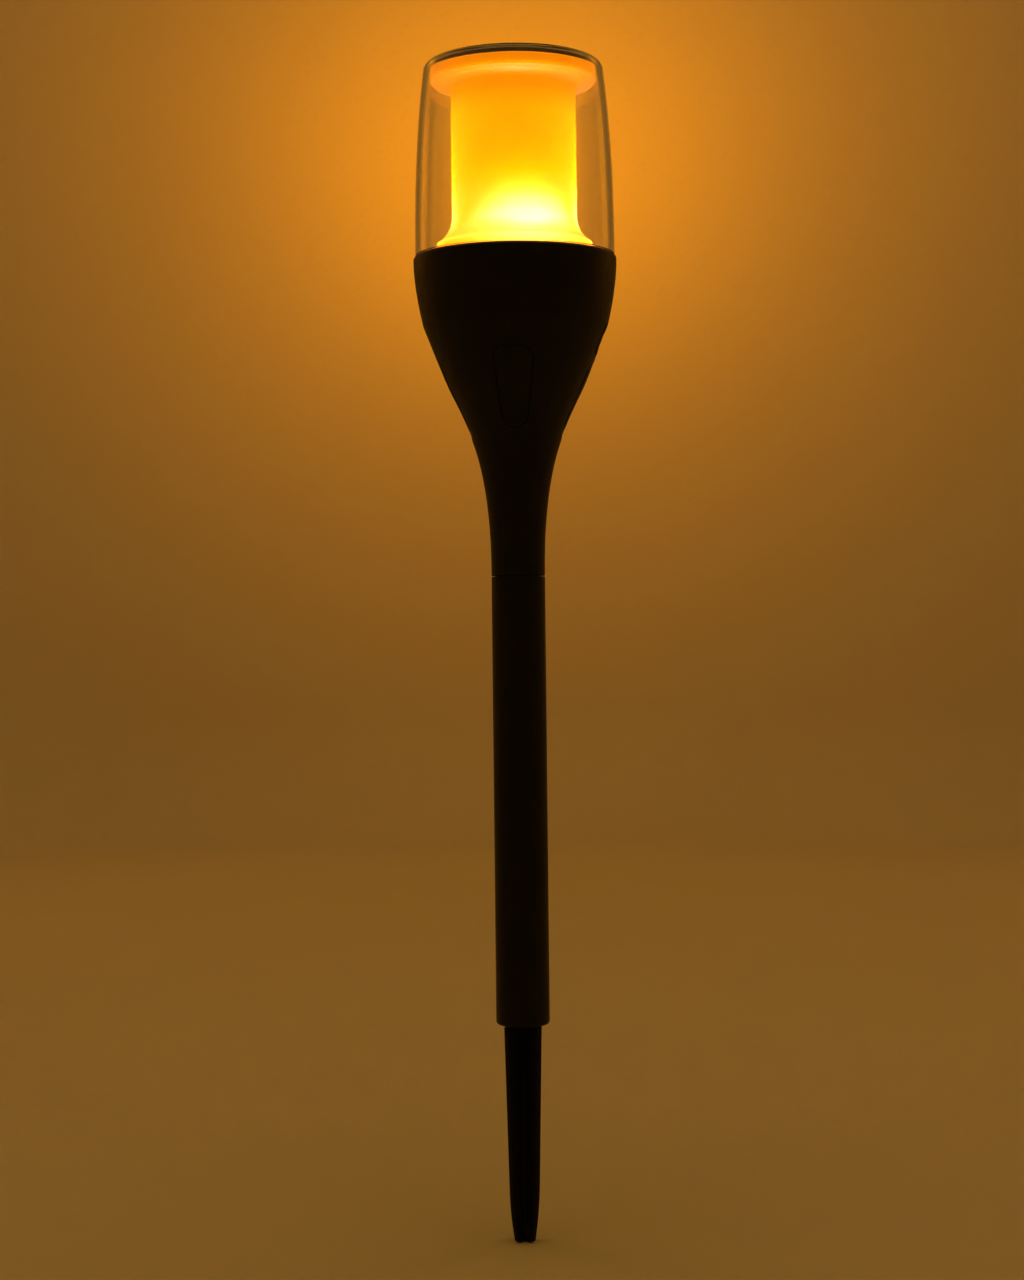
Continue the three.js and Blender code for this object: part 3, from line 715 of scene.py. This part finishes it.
def flank_axes(radius, height, tilt, turn=0.0):
    """Axes on the flank: x around it, y up it and z outwards, turned to a side of the head."""
    around = Vector((0, 1, 0))
    upwards = Vector((math.sin(tilt), 0, math.cos(tilt)))
    outwards = Vector((math.cos(tilt), 0, -math.sin(tilt)))
    axes = Matrix((around, upwards, outwards)).transposed().to_4x4()
    return Matrix.Rotation(turn, 4, "Z") @ Matrix.Translation((radius, 0, height)) @ axes


def on_flank(axes, across, up, depth):
    """The spot on the flank, at a depth, that a point of a flat outline lies over."""
    start = axes @ Vector((across, up, 0))
    outwards = axes.col[2].xyz
    near, far = -12.0, 12.0
    for _ in range(26):
        reach = (near + far) / 2
        spot = start + outwards * reach
        if math.hypot(spot.x, spot.y) < flank_radius(spot.z, depth):
            near = reach
        else:
            far = reach
    return start + outwards * near


def curved_loop(axes, loop, margin, depth):
    """A flat outline, grown by a margin, laid over the flank at a depth."""
    return [on_flank(axes, x, y, depth) for x, y in grown(loop, margin)]


def flat_loop(axes, loop, margin, height):
    """A flat outline, grown by a margin, at a height above the axes' own plane."""
    return [axes @ Vector((x, y, height)) for x, y in grown(loop, margin)]


def shrunk(loop, amount):
    """A flat loop scaled about its middle, and that middle."""
    middle = Vector((0, (min(y for _, y in loop) + max(y for _, y in loop)) / 2))
    return [middle.lerp(spot, amount) for spot in loop], middle


def face_loops(axes, loop, margin, depth, amounts, hollow=0.0):
    """Loops that close a curved face from its middle out to its edge, with a shallow hollow if asked."""
    edge = grown(loop, margin)
    loops = []
    for amount in amounts:
        inner, middle = shrunk(edge, amount)
        sunk = depth + hollow * (1 - amount ** 2) ** 2
        loops.append([on_flank(axes, x, y, sunk) for x, y in inner])
    return loops, on_flank(axes, middle.x, middle.y, depth + hollow)


def inlay_loop(top):
    """An inlay's outline up the flank: wide with rounded corners above, narrow and half-round below."""
    stretch = 1 / math.cos(FLANK_TILT)
    low = (INLAY_BOTTOM - INLAY_MIDDLE) * stretch
    high = (top - INLAY_MIDDLE) * stretch
    low_radius = INLAY_BOTTOM_WIDTH / 2
    shift = INLAY_TOP_WIDTH / 2 - INLAY_CORNER
    loop = arc(shift, high - INLAY_CORNER, INLAY_CORNER, 0, 90, 12)
    loop += arc(-shift, high - INLAY_CORNER, INLAY_CORNER, 90, 180, 12)
    loop += arc(0, low + low_radius, low_radius, 180, 360, 24)
    return filled(loop, 20, 3)


AMOUNTS = (0.2, 0.4, 0.6, 0.8, 0.93)  # where the rings that close a curved face lie, out from its middle


def inlay_mesh(axes, loop):
    """A dark pad that lies flush in the flank, with rounded edges."""
    face, front = face_loops(axes, loop, -0.4, 0, AMOUNTS)
    edge = [(-0.4, 0), (-0.25, 0.015), (-0.12, 0.06), (-0.03, 0.15), (0, 0.3), (0, 0.6), (0, 1.0)]
    edge.append((-0.05, INLAY_THICKNESS))
    sides = [curved_loop(axes, loop, margin, depth) for margin, depth in edge]
    back_face, back = face_loops(axes, loop, -0.05, INLAY_THICKNESS, AMOUNTS)
    return lofted([*face, *sides, *reversed(back_face)], front, back)


def pocket_mesh(axes, loop):
    """What is cut from the flank for an inlay: its outline with a gap all round and a small chamfered lip."""
    face, front = face_loops(axes, loop, GAP + LIP + 1, -1, AMOUNTS)
    edge = [(GAP + LIP + 1, -1), (GAP, LIP), (GAP, 0.8), (GAP, INLAY_THICKNESS + GAP)]
    sides = [curved_loop(axes, loop, margin, depth) for margin, depth in edge]
    back_face, back = face_loops(axes, loop, GAP, INLAY_THICKNESS + GAP, AMOUNTS)
    return lofted([*face, *sides, *reversed(back_face)], front, back)


INLAYS = {
    "front": (-90, INLAY_TOP),
    "right": (0, SHORT_INLAY_TOP),
    "back": (90, INLAY_TOP),
    "left": (180, INLAY_TOP),
}
inlay_places = []
for side, (degrees, top) in INLAYS.items():
    axes = flank_axes(INLAY_RADIUS, INLAY_MIDDLE, FLANK_TILT, math.radians(degrees))
    inlay_places.append((side, axes, inlay_loop(top)))

button_axes = flank_axes(BUTTON_RADIUS, BUTTON_HEIGHT, BUTTON_TILT)
button_loop = rounded_rectangle(*BUTTON_SIZE, BUTTON_CORNER)


def button_mesh():
    """The push button: a slightly hollow soft face, straight sides, a hidden flange and a plunger."""
    flange_face = -4.4
    flange_back = -5.6
    plunger_end = -9.6
    plunger_radius = 1.5
    face, front = face_loops(button_axes, button_loop, -0.6, 0, AMOUNTS, hollow=0.35)
    edge = [(-0.6, 0), (-0.4, 0.02), (-0.2, 0.09), (-0.06, 0.22), (0, 0.45), (0, 0.8)]
    sides = [curved_loop(button_axes, button_loop, margin, depth) for margin, depth in edge]
    width, height = BUTTON_SIZE
    flange = rounded_rectangle(width + 2.8, height + 2.4, BUTTON_CORNER)
    plunger = [spot.normalized() * plunger_radius for spot in flange]
    back = [flat_loop(button_axes, button_loop, 0, flange_face)]
    back += [flat_loop(button_axes, flange, 0, flange_face), flat_loop(button_axes, flange, 0, flange_back)]
    back += [flat_loop(button_axes, plunger, 0, flange_back), flat_loop(button_axes, plunger, 0, plunger_end)]
    return lofted([*face, *sides, *back], front, button_axes @ Vector((0, 0, plunger_end)))


def button_hole_mesh():
    """What is cut right through the flank for the push button, with a small chamfered lip."""
    hole_end = -6
    face, front = face_loops(button_axes, button_loop, GAP + LIP + 1, -1, AMOUNTS)
    edge = [(GAP + LIP + 1, -1), (GAP, LIP), (GAP, 0.6)]
    sides = [curved_loop(button_axes, button_loop, margin, depth) for margin, depth in edge]
    back = flat_loop(button_axes, button_loop, GAP, hole_end)
    return lofted([*face, *sides, back], front, button_axes @ Vector((0, 0, hole_end)))


def pillar(radius, bottom, top, x):
    """A post inside the flank, square to the push button, beside it at x."""
    mesh = rod(radius, bottom, top, x)
    mesh.transform(button_axes)
    return mesh


CUP_WALL = 2.6
CUP_MOUTH = 38.9  # the bore above the deck's ledge
CUP_BORE = 38.3  # the bore below it
CUP_LEDGE = 385.2
NECK_TOP = (17.8, 319.6)
NECK_BORE = 8.3
NECK_BORE_FOOT = 272
BOSS_RADIUS = 3
PILLAR_REACH = 12.3
SWITCH_PILOT = 1.1


def cup_mesh():
    """The cup-shaped head: spigot, neck, flank, barrel and rim, with its pockets, button hole and bosses."""
    rim = cup_high.x
    top = cup_high.z
    low = cup_low.z
    pole_radius = pole_high.x
    inset = Vector((-CUP_WALL * math.cos(FLANK_TILT), CUP_WALL * math.sin(FLANK_TILT)))
    outline = path((SPIGOT_BORE, low + 0.2), (SPIGOT_BORE + 0.2, low), (SPIGOT - 0.5, low))
    outline += bend((SPIGOT - 0.3, low + 0.1), (SPIGOT - 0.05, low + 0.4), (SPIGOT, low + 0.8), 3)
    outline += path((SPIGOT, SHOULDER - 0.4), (SPIGOT, SHOULDER), (pole_radius - 0.8, SHOULDER))
    corner = (pole_radius, SHOULDER)
    under = (pole_radius - POLE_TOP_ROUNDING, SHOULDER)
    outline += bend(under, corner, (pole_radius, SHOULDER + POLE_TOP_ROUNDING), 4)
    outline += path((pole_radius, SHOULDER + 0.8))
    outline += bend((pole_radius, 267), (pole_radius, 300), NECK_TOP, 36)
    outline += flank
    outline += bend(FLANK_STOPS[-1], (40.5, 380.6), (rim, top - RIM_ROUNDING), 24)[1:]
    outline += arc(rim - RIM_ROUNDING, top - RIM_ROUNDING, RIM_ROUNDING, 10, 90, 8)
    outline += path((CUP_MOUTH + 0.1, top), (CUP_MOUTH + 0.03, top - 0.03), (CUP_MOUTH, top - 0.12))
    outline += path((CUP_MOUTH, CUP_LEDGE + 0.2), (CUP_MOUTH, CUP_LEDGE), (CUP_BORE, CUP_LEDGE))
    outline += path((CUP_BORE, 382), (37, 376))
    outline += [spot + inset for spot in reversed(flank[::4])]
    outline += bend((15.2, 320.4), (NECK_BORE, 300.5), (NECK_BORE, NECK_BORE_FOOT), 16)
    outline += path((SPIGOT_BORE, 266.6), (SPIGOT_BORE, 265), (SPIGOT_BORE, low + 1))
    bosses = [rod(BOSS_RADIUS, 369.5, deck_low.z - GAP, x, y) for x, y in DECK_SCREW_SPOTS]
    boss_holes = [rod(PILOT, 370.7, deck_low.z + 1, x, y) for x, y in DECK_SCREW_SPOTS]
    pillars = [pillar(2, -12.7, -3.4, x) for x in (-PILLAR_REACH, PILLAR_REACH)]
    pillar_holes = [pillar(SWITCH_PILOT, -14, -5.8, x) for x in (-PILLAR_REACH, PILLAR_REACH)]
    pockets = [pocket_mesh(axes, loop) for _, axes, loop in inlay_places]
    solid = added(turned(outline), [*bosses, *pillars])
    return cut(solid, [*boss_holes, *pillar_holes, *pockets, button_hole_mesh()])


add_piece("head_cup", cup_mesh(), "head", "black_plastic", "torch_cup")
for side, axes, loop in inlay_places:
    add_piece(f"inlay_{side}_pad", inlay_mesh(axes, loop), "head", "inlay_rubber", f"inlay_{side}")
add_piece("button_pad", button_mesh(), "button", "button_rubber", "switch_button")

# ---------- clear cover and its seal ----------

COVER_FOOT_RADIUS = 39.84
COVER_PULL = (39.9, 436.2)  # the side is drawn towards this radius and height
COVER_WALL = 2.4
COVER_ROOF = 1.4
COVER_SHOULDER = 3.6
COVER_INNER_SHOULDER = 1.8
COVER_SKIRT_RADIUS = 38.6


def cover_side(inset, bottom, top, steps):
    """The cover's side from its foot to its shoulder, with the wall's thickness taken off if asked."""
    pull_radius, pull_height = COVER_PULL
    return bend((COVER_FOOT_RADIUS - inset, bottom), (pull_radius - inset, pull_height), top, steps)


def cover_mesh():
    """The clear jar: a roof, a rounded shoulder, a slightly bowed side and a skirt that goes into the cup."""
    low = cover_low.z
    top = cover_high.z
    shelf = cup_high.z + GAP
    foot = COVER_FOOT_RADIUS
    skirt = COVER_SKIRT_RADIUS
    ceiling = top - COVER_ROOF
    shoulder = arc(32.4, top - COVER_SHOULDER, COVER_SHOULDER, 7.4, 90, 14)
    inner_shoulder = arc(31.8, ceiling - COVER_INNER_SHOULDER, COVER_INNER_SHOULDER, 90, 0, 8)
    outline = path((0, ceiling), (12, ceiling), (24, ceiling), (31, ceiling))
    outline += inner_shoulder
    outline += list(reversed(cover_side(COVER_WALL, shelf, inner_shoulder[-1], 36)))[1:]
    outline += path((37.44, low + 0.3), (37.5, low + 0.06), (37.65, low), (skirt - 0.3, low))
    outline += bend((skirt - 0.2, low), (skirt, low), (skirt, low + 0.2), 3)
    outline += path((skirt, shelf - 0.3), (skirt, shelf), (39.5, shelf))
    outline += bend((foot - 0.2, shelf), (foot, shelf), (foot + 0.001, shelf + 0.2), 3)
    outline += cover_side(0, shelf, shoulder[0], 40)[1:]
    outline += shoulder[1:]
    outline += path((31.5, top), (24, top), (12, top), (0, top))
    return turned(outline, COVER_SIDES)


def seal_mesh():
    """The round seal ring under the cover's skirt."""
    middle = (gasket_low.z + gasket_high.z) / 2
    return turned(arc(37.6, middle, 0.8, 0, 330, 11))


add_piece("cover_shell", cover_mesh(), "cover", "clear_plastic", "clear_cover")
add_piece("cover_seal", seal_mesh(), "head", "seal_rubber", "cover_gasket")

# ---------- diffuser, deck and solar panel ----------

DIFFUSER_WALL = 1.6
FOOT_RADIUS = 31
FOOT_BORE = 29.4
COLUMN_TOP_FILLET = 4
DISH_RADIUS = 33.2
DISH_BOTTOM = 462
DISH_FLOOR = 463.6
DISH_BORE = 31.8
DECK_TOP = 385
STANDOFF_RADIUS = 2.5
WIRE_HOLE_RADIUS = 6
WIRE_HOLE_X = 14


def diffuser_mesh():
    """The hollow diffuser: a flange to screw down, a flared foot, a straight column and a wide open dish."""
    foot = diffuser_low.z
    flange = diffuser_high.x
    flange_top = foot + DIFFUSER_WALL
    dish_top = diffuser_high.z
    column_top = DISH_BOTTOM - COLUMN_TOP_FILLET
    column_bore = COLUMN_RADIUS - DIFFUSER_WALL
    bore_top = DISH_FLOOR - 2
    flare_middle = COLUMN_RADIUS + FLARE_RADIUS
    outline = softened([(FOOT_BORE, foot, 0.1), (flange, foot, 0.2), (flange, flange_top, 0.35),
                        (31.6, flange_top, 0)])
    outline += bend((31.4, foot + 1.65), (31.05, foot + 1.8), (FOOT_RADIUS, foot + 2.4), 4)
    outline += path((FOOT_RADIUS, 391), (FOOT_RADIUS, 395))
    outline += arc(flare_middle, COLUMN_BOTTOM, FLARE_RADIUS, 238.4, 180, 20)
    outline += upright(COLUMN_RADIUS, COLUMN_BOTTOM, column_top, 10)
    outline += arc(COLUMN_RADIUS + COLUMN_TOP_FILLET, column_top, COLUMN_TOP_FILLET, 180, 90, 10)
    outline += path((29.6, DISH_BOTTOM), (32.2, DISH_BOTTOM))
    outline += bend((32.5, DISH_BOTTOM), (DISH_RADIUS, DISH_BOTTOM), (DISH_RADIUS, DISH_BOTTOM + 0.7), 5)
    outline += path((DISH_RADIUS, DISH_BOTTOM + 1.1), (DISH_RADIUS, dish_top - 0.4))
    outline += bend((DISH_RADIUS, dish_top - 0.2), (DISH_RADIUS, dish_top), (DISH_RADIUS - 0.2, dish_top), 3)
    outline += path((DISH_BORE + 0.1, dish_top), (DISH_BORE, dish_top - 0.1), (DISH_BORE, DISH_FLOOR + 0.1))
    outline += path((DISH_BORE - 0.1, DISH_FLOOR), (column_bore + 2, DISH_FLOOR), (column_bore, bore_top))
    outline += upright(column_bore, bore_top, COLUMN_BOTTOM, 8)
    outline += arc(flare_middle, COLUMN_BOTTOM, FLARE_RADIUS + DIFFUSER_WALL, 180, 234.8, 16)
    outline += path((FOOT_BORE, 392))
    holes = [rod(PILOT, foot - 1, foot + 3, x, y) for x, y in DECK_SCREW_SPOTS]
    return cut(turned(outline), holes)


def deck_mesh():
    """The round plate that closes the cup, with its screw holes, two standoffs and a hole for the wires."""
    low = deck_low.z
    radius = deck_high.x
    plate = turned(softened([(0, low, 0), (radius, low, 0.25), (radius, DECK_TOP, 0.25), (0, DECK_TOP, 0)]))
    standoffs = [rod(STANDOFF_RADIUS, low + 0.5, deck_high.z, x, y) for x, y in BOARD_SCREW_SPOTS]
    spots = [*DECK_SCREW_SPOTS, *HOLDER_SCREW_SPOTS, *BOARD_SCREW_SPOTS]
    holes = [rod(PILOT, low - 1, deck_high.z + 1, x, y) for x, y in spots]
    wire_hole = rod(WIRE_HOLE_RADIUS, low - 1, DECK_TOP + 1, WIRE_HOLE_X)
    return cut(added(plate, standoffs), [*holes, wire_hole])


def cell_loop(margin):
    """The square cell's outline with its four corners cut off, anticlockwise."""
    half = cell_high.x + margin
    short = half - CELL_CUT_CORNER
    corners = [(half, -short), (half, short), (short, half), (-short, half)]
    corners += [(-half, short), (-half, -short), (-short, -half), (short, -half)]
    return [Vector(corner) for corner in corners]


BEZEL_PLUG_RADIUS = 31.5
CELL_RECESS = 0.9
CELL_WIRE_HOLE = 0.9
CELL_WIRE_X = 2.5
CELL_WIRE_Y = 15


def bezel_mesh():
    """The panel's frame: a disc that rests on the dish, with a recess for the cell and two wire holes."""
    top = bezel_high.z
    low = bezel_low.z
    radius = bezel_high.x
    plug = BEZEL_PLUG_RADIUS
    ledge = diffuser_high.z + GAP
    corners = [(0, low, 0), (plug, low, 0.2), (plug, ledge, 0.1)]
    corners += [(radius, ledge, 0.2), (radius, top, 0.5), (0, top, 0)]
    body = turned(softened(corners, 5))
    floor = top - CELL_RECESS
    above = top + 0.45
    layers = [(GAP, floor), (GAP, top - 0.15), (GAP + 0.6, above)]
    loops = [[(x, y, z) for x, y in cell_loop(margin)] for margin, z in layers]
    recess = lofted(loops, (0, 0, floor), (0, 0, above))
    holes = [rod(CELL_WIRE_HOLE, low - 1, top, x, CELL_WIRE_Y, 24) for x in (-CELL_WIRE_X, CELL_WIRE_X)]
    return cut(body, [recess, *holes])


def joined(meshes):
    """Separate closed meshes as one."""
    shape = bmesh.new()
    for mesh in meshes:
        shape.from_mesh(mesh)
    whole = bpy.data.meshes.new("shape")
    shape.to_mesh(whole)
    shape.free()
    return whole


def flat_bar(x_low, x_high, y_low, y_high, bottom, top):
    """A thin flat bar with a slightly narrower top."""
    lean = min(0.03, (top - bottom) / 2)
    loops = []
    for inset, z in ((0, bottom), (0, top - lean), (lean, top)):
        loops.append([(x_low + inset, y_low + inset, z), (x_high - inset, y_low + inset, z),
                      (x_high - inset, y_high - inset, z), (x_low + inset, y_high - inset, z)])
    middle = ((x_low + x_high) / 2, (y_low + y_high) / 2)
    return lofted(loops, (*middle, bottom), (*middle, top))


PRINT_MARGIN = 0.9
BUSBAR_X = 11
BUSBAR_HALF_WIDTH = 0.6
FINGER_SPACING = 1.9
FINGER_HALF_WIDTH = 0.06


def printed_lines():
    """The cell's two busbars and its fine collecting fingers."""
    face = cell_high.z
    under = face - 0.02
    half = cell_high.x - PRINT_MARGIN
    width = BUSBAR_HALF_WIDTH
    bars = [flat_bar(x - width, x + width, -half, half, under, face + 0.05) for x in (-BUSBAR_X, BUSBAR_X)]
    fingers = []
    count = int(half // FINGER_SPACING)
    for i in range(-count, count + 1):
        y = i * FINGER_SPACING
        reach = min(half, cell_high.x * 2 - CELL_CUT_CORNER - PRINT_MARGIN - abs(y))
        low = y - FINGER_HALF_WIDTH
        high = y + FINGER_HALF_WIDTH
        fingers.append(flat_bar(-reach, reach, low, high, under, face + 0.025))
    return joined(bars), joined(fingers)


add_piece("diffuser_shell", diffuser_mesh(), "head", "frosted_plastic", "diffuser")
add_piece("deck_plate", deck_mesh(), "head", "deck_plastic", "lamp_deck")
add_piece("panel_bezel", bezel_mesh(), "head", "panel_frame_plastic", "panel_frame")
add_piece("panel_cell", prism(cell_loop(0), cell_low.z, cell_high.z), "head", "solar_cell", "solar_cell")
busbars, fingers = printed_lines()
add_piece("panel_busbars", busbars, "head", "contact_steel")
add_piece("panel_fingers", fingers, "head", "contact_steel")

# ---------- screws that can be seen ----------

SCREW_HEAD_HEIGHT = 1.7
SCREW_SHANK = 1.2
SCREW_SLOT = (0.35, 1.35)  # half its width and half its length
SCREW_SLOT_DEPTH = 1.1


def screw_mesh(node):
    """A cross-headed screw with a domed head, in place of a plainer CAD one."""
    low, high = cad_box(node)
    x = (low.x + high.x) / 2
    y = (low.y + high.y) / 2
    head = (high.x - low.x) / 2
    top = high.z
    seat = top - SCREW_HEAD_HEIGHT
    outline = path((0, low.z), (SCREW_SHANK * 0.4, low.z), (SCREW_SHANK, low.z + 1.2))
    outline += path((SCREW_SHANK, seat - 0.3), (SCREW_SHANK, seat), (head - 0.15, seat))
    outline += bend((head, seat + 0.15), (head, seat + SCREW_HEAD_HEIGHT * 0.8), (head * 0.45, top - 0.12), 8)
    outline += path((head * 0.25, top - 0.03), (0, top))
    screw = turned(outline, SMALL_SIDES)
    slot_foot = top - SCREW_SLOT_DEPTH
    slot_top = top + 0.4
    arms = []
    for across, along in (SCREW_SLOT, reversed(SCREW_SLOT)):
        corners = [(-across, -along), (across, -along), (across, along), (-across, along)]
        sizes = [(0.55, slot_foot), (1, top - 0.1), (1.1, slot_top)]
        loops = [[(cx * size, cy * size, z) for cx, cy in corners] for size, z in sizes]
        arms.append(lofted(loops, (0, 0, slot_foot), (0, 0, slot_top)))
    driven = cut(screw, arms)
    driven.transform(Matrix.Translation((x, y, 0)))
    return driven


for number in (1, 2, 3):
    node = f"deck_screw_{number}"
    add_piece(f"{node}_domed", screw_mesh(node), "head", "screw_steel", node)

# ---------- CAD pieces that stay, with better materials ----------

CARRIED = {
    "circuit_laminate": ("circuit_board", "switch_board"),
    "led_resin": ("led",),
    "white_plastic": ("led_spacer",),
    "chip_plastic": ("controller_chip",),
    "coil_ferrite": ("charge_coil",),
    "holder_plastic": ("battery_holder",),
    "battery_can": ("battery",),
    "switch_plastic": ("switch_body",),
    "contact_steel": ("led_lead_1", "led_lead_2", "contact_plate", "contact_spring"),
    "screw_steel": ("holder_screw_1", "holder_screw_2", "board_screw_1", "board_screw_2", "switch_screw_1",
                    "switch_screw_2"),
    "red_wire": ("battery_wire_red", "panel_wire_red", "switch_wire_1"),
    "black_wire": ("battery_wire_black", "panel_wire_black", "switch_wire_2"),
}
for slot, nodes in CARRIED.items():
    for node in nodes:
        cad_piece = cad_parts[node]
        cad_piece.data.materials[0] = finishes[slot]
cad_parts["led"].visible_shadow = False  # the two lamps that stand for its light sit inside it

# ---------- stage and lights ----------

STAGE_FLOOR = -0.4  # just under the stake's tip
STAGE_FLOOR_RADIUS = 1770
STAGE_ROUNDING = 160
STAGE_HEIGHT = 3200
STAGE_THICKNESS = 20


def add_stage():
    """A plain pale bowl: a floor that bends up into a wall all round."""
    wall = STAGE_FLOOR_RADIUS + STAGE_ROUNDING
    outside = wall + STAGE_THICKNESS
    outline = [Vector((radius, STAGE_FLOOR)) for radius in (0, 200, 600, 1200)]
    outline += arc(STAGE_FLOOR_RADIUS, STAGE_ROUNDING + STAGE_FLOOR, STAGE_ROUNDING, -90, 0, 16)
    outline += path((wall, 1000), (wall, STAGE_HEIGHT), (outside, STAGE_HEIGHT))
    outline += path((outside, -STAGE_THICKNESS), (0, -STAGE_THICKNESS))
    mesh = turned(outline, 128)
    mesh.transform(Matrix.Scale(MM, 4))
    mesh.shade_smooth()
    finish = Finish("stage_paint", Roughness=0.85)
    finish.wire("Base Color", finish.mottled(420, 3, (0.78, 0.725, 0.64), (0.81, 0.755, 0.665), 0.75))
    mesh.materials.append(finish.material)
    stage = bpy.data.objects.new("stage", mesh)
    scene.collection.objects.link(stage)


def add_light(name, kind, power, color, place, size):
    """A lamp of so many watts that the camera doesn't see as a shape. Its place and size are in metres."""
    data = bpy.data.lights.new(name, kind)
    data.energy = power
    data.color = color
    if kind == "AREA":
        data.size = size
    else:
        data.shadow_soft_size = size
    light = bpy.data.objects.new(name, data)
    light.location = place
    light.visible_camera = False
    light.visible_transmission = False
    scene.collection.objects.link(light)
    return light


WARM = (1, 0.6, 0.13)
AMBER = (1, 0.315, 0.0)
LAMP_AMBER = (1, 0.43, 0)
LAMP_WHITE = (0.5, 0.32, 0.92)
GLOW_SIZE = 0.1
GLOW_HEIGHT = 0.83
GLOW_CONE = math.radians(138)
GLOW_TILT = math.radians(96)  # from straight down, so the spots look a little above level


def add_glow(name, power, x, y, degrees=0):
    """An amber spot that washes the bowl's wall, turned from +Y by so many degrees."""
    glow = add_light(name, "SPOT", power, AMBER, (x, y, GLOW_HEIGHT), GLOW_SIZE)
    glow.data.spot_size = GLOW_CONE
    glow.data.spot_blend = 1
    glow.rotation_euler = (GLOW_TILT, 0, math.radians(degrees))


def add_world():
    """A dim warm light from everywhere, so that no shadow is quite black."""
    world = bpy.data.worlds.new("dim_room")
    world.use_nodes = True
    background = world.node_tree.nodes["Background"]
    background.inputs["Color"].default_value = (1, 0.6, 0.14, 1)
    background.inputs["Strength"].default_value = 0.035
    scene.world = world


add_stage()
add_light("softbox", "AREA", 8.6, WARM, (0, -0.1, 2.7), 1.8)
add_glow("backdrop_core", 2.5, -0.06, 1.62)
add_glow("backdrop_glow", 6.7, -0.06, 1.3)
add_glow("left_glow", 8.5, -1.25, 0.95, 40)
add_glow("right_glow", 8.5, 1.25, 0.95, -40)
lamp_glow = add_light("lamp_glow", "POINT", 0.92, LAMP_AMBER, LAMP, 0.018)
lamp_core = add_light("lamp_core", "POINT", 0.58, LAMP_WHITE, LAMP, 0.005)
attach(lamp_glow, "head")
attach(lamp_core, "head")
add_world()
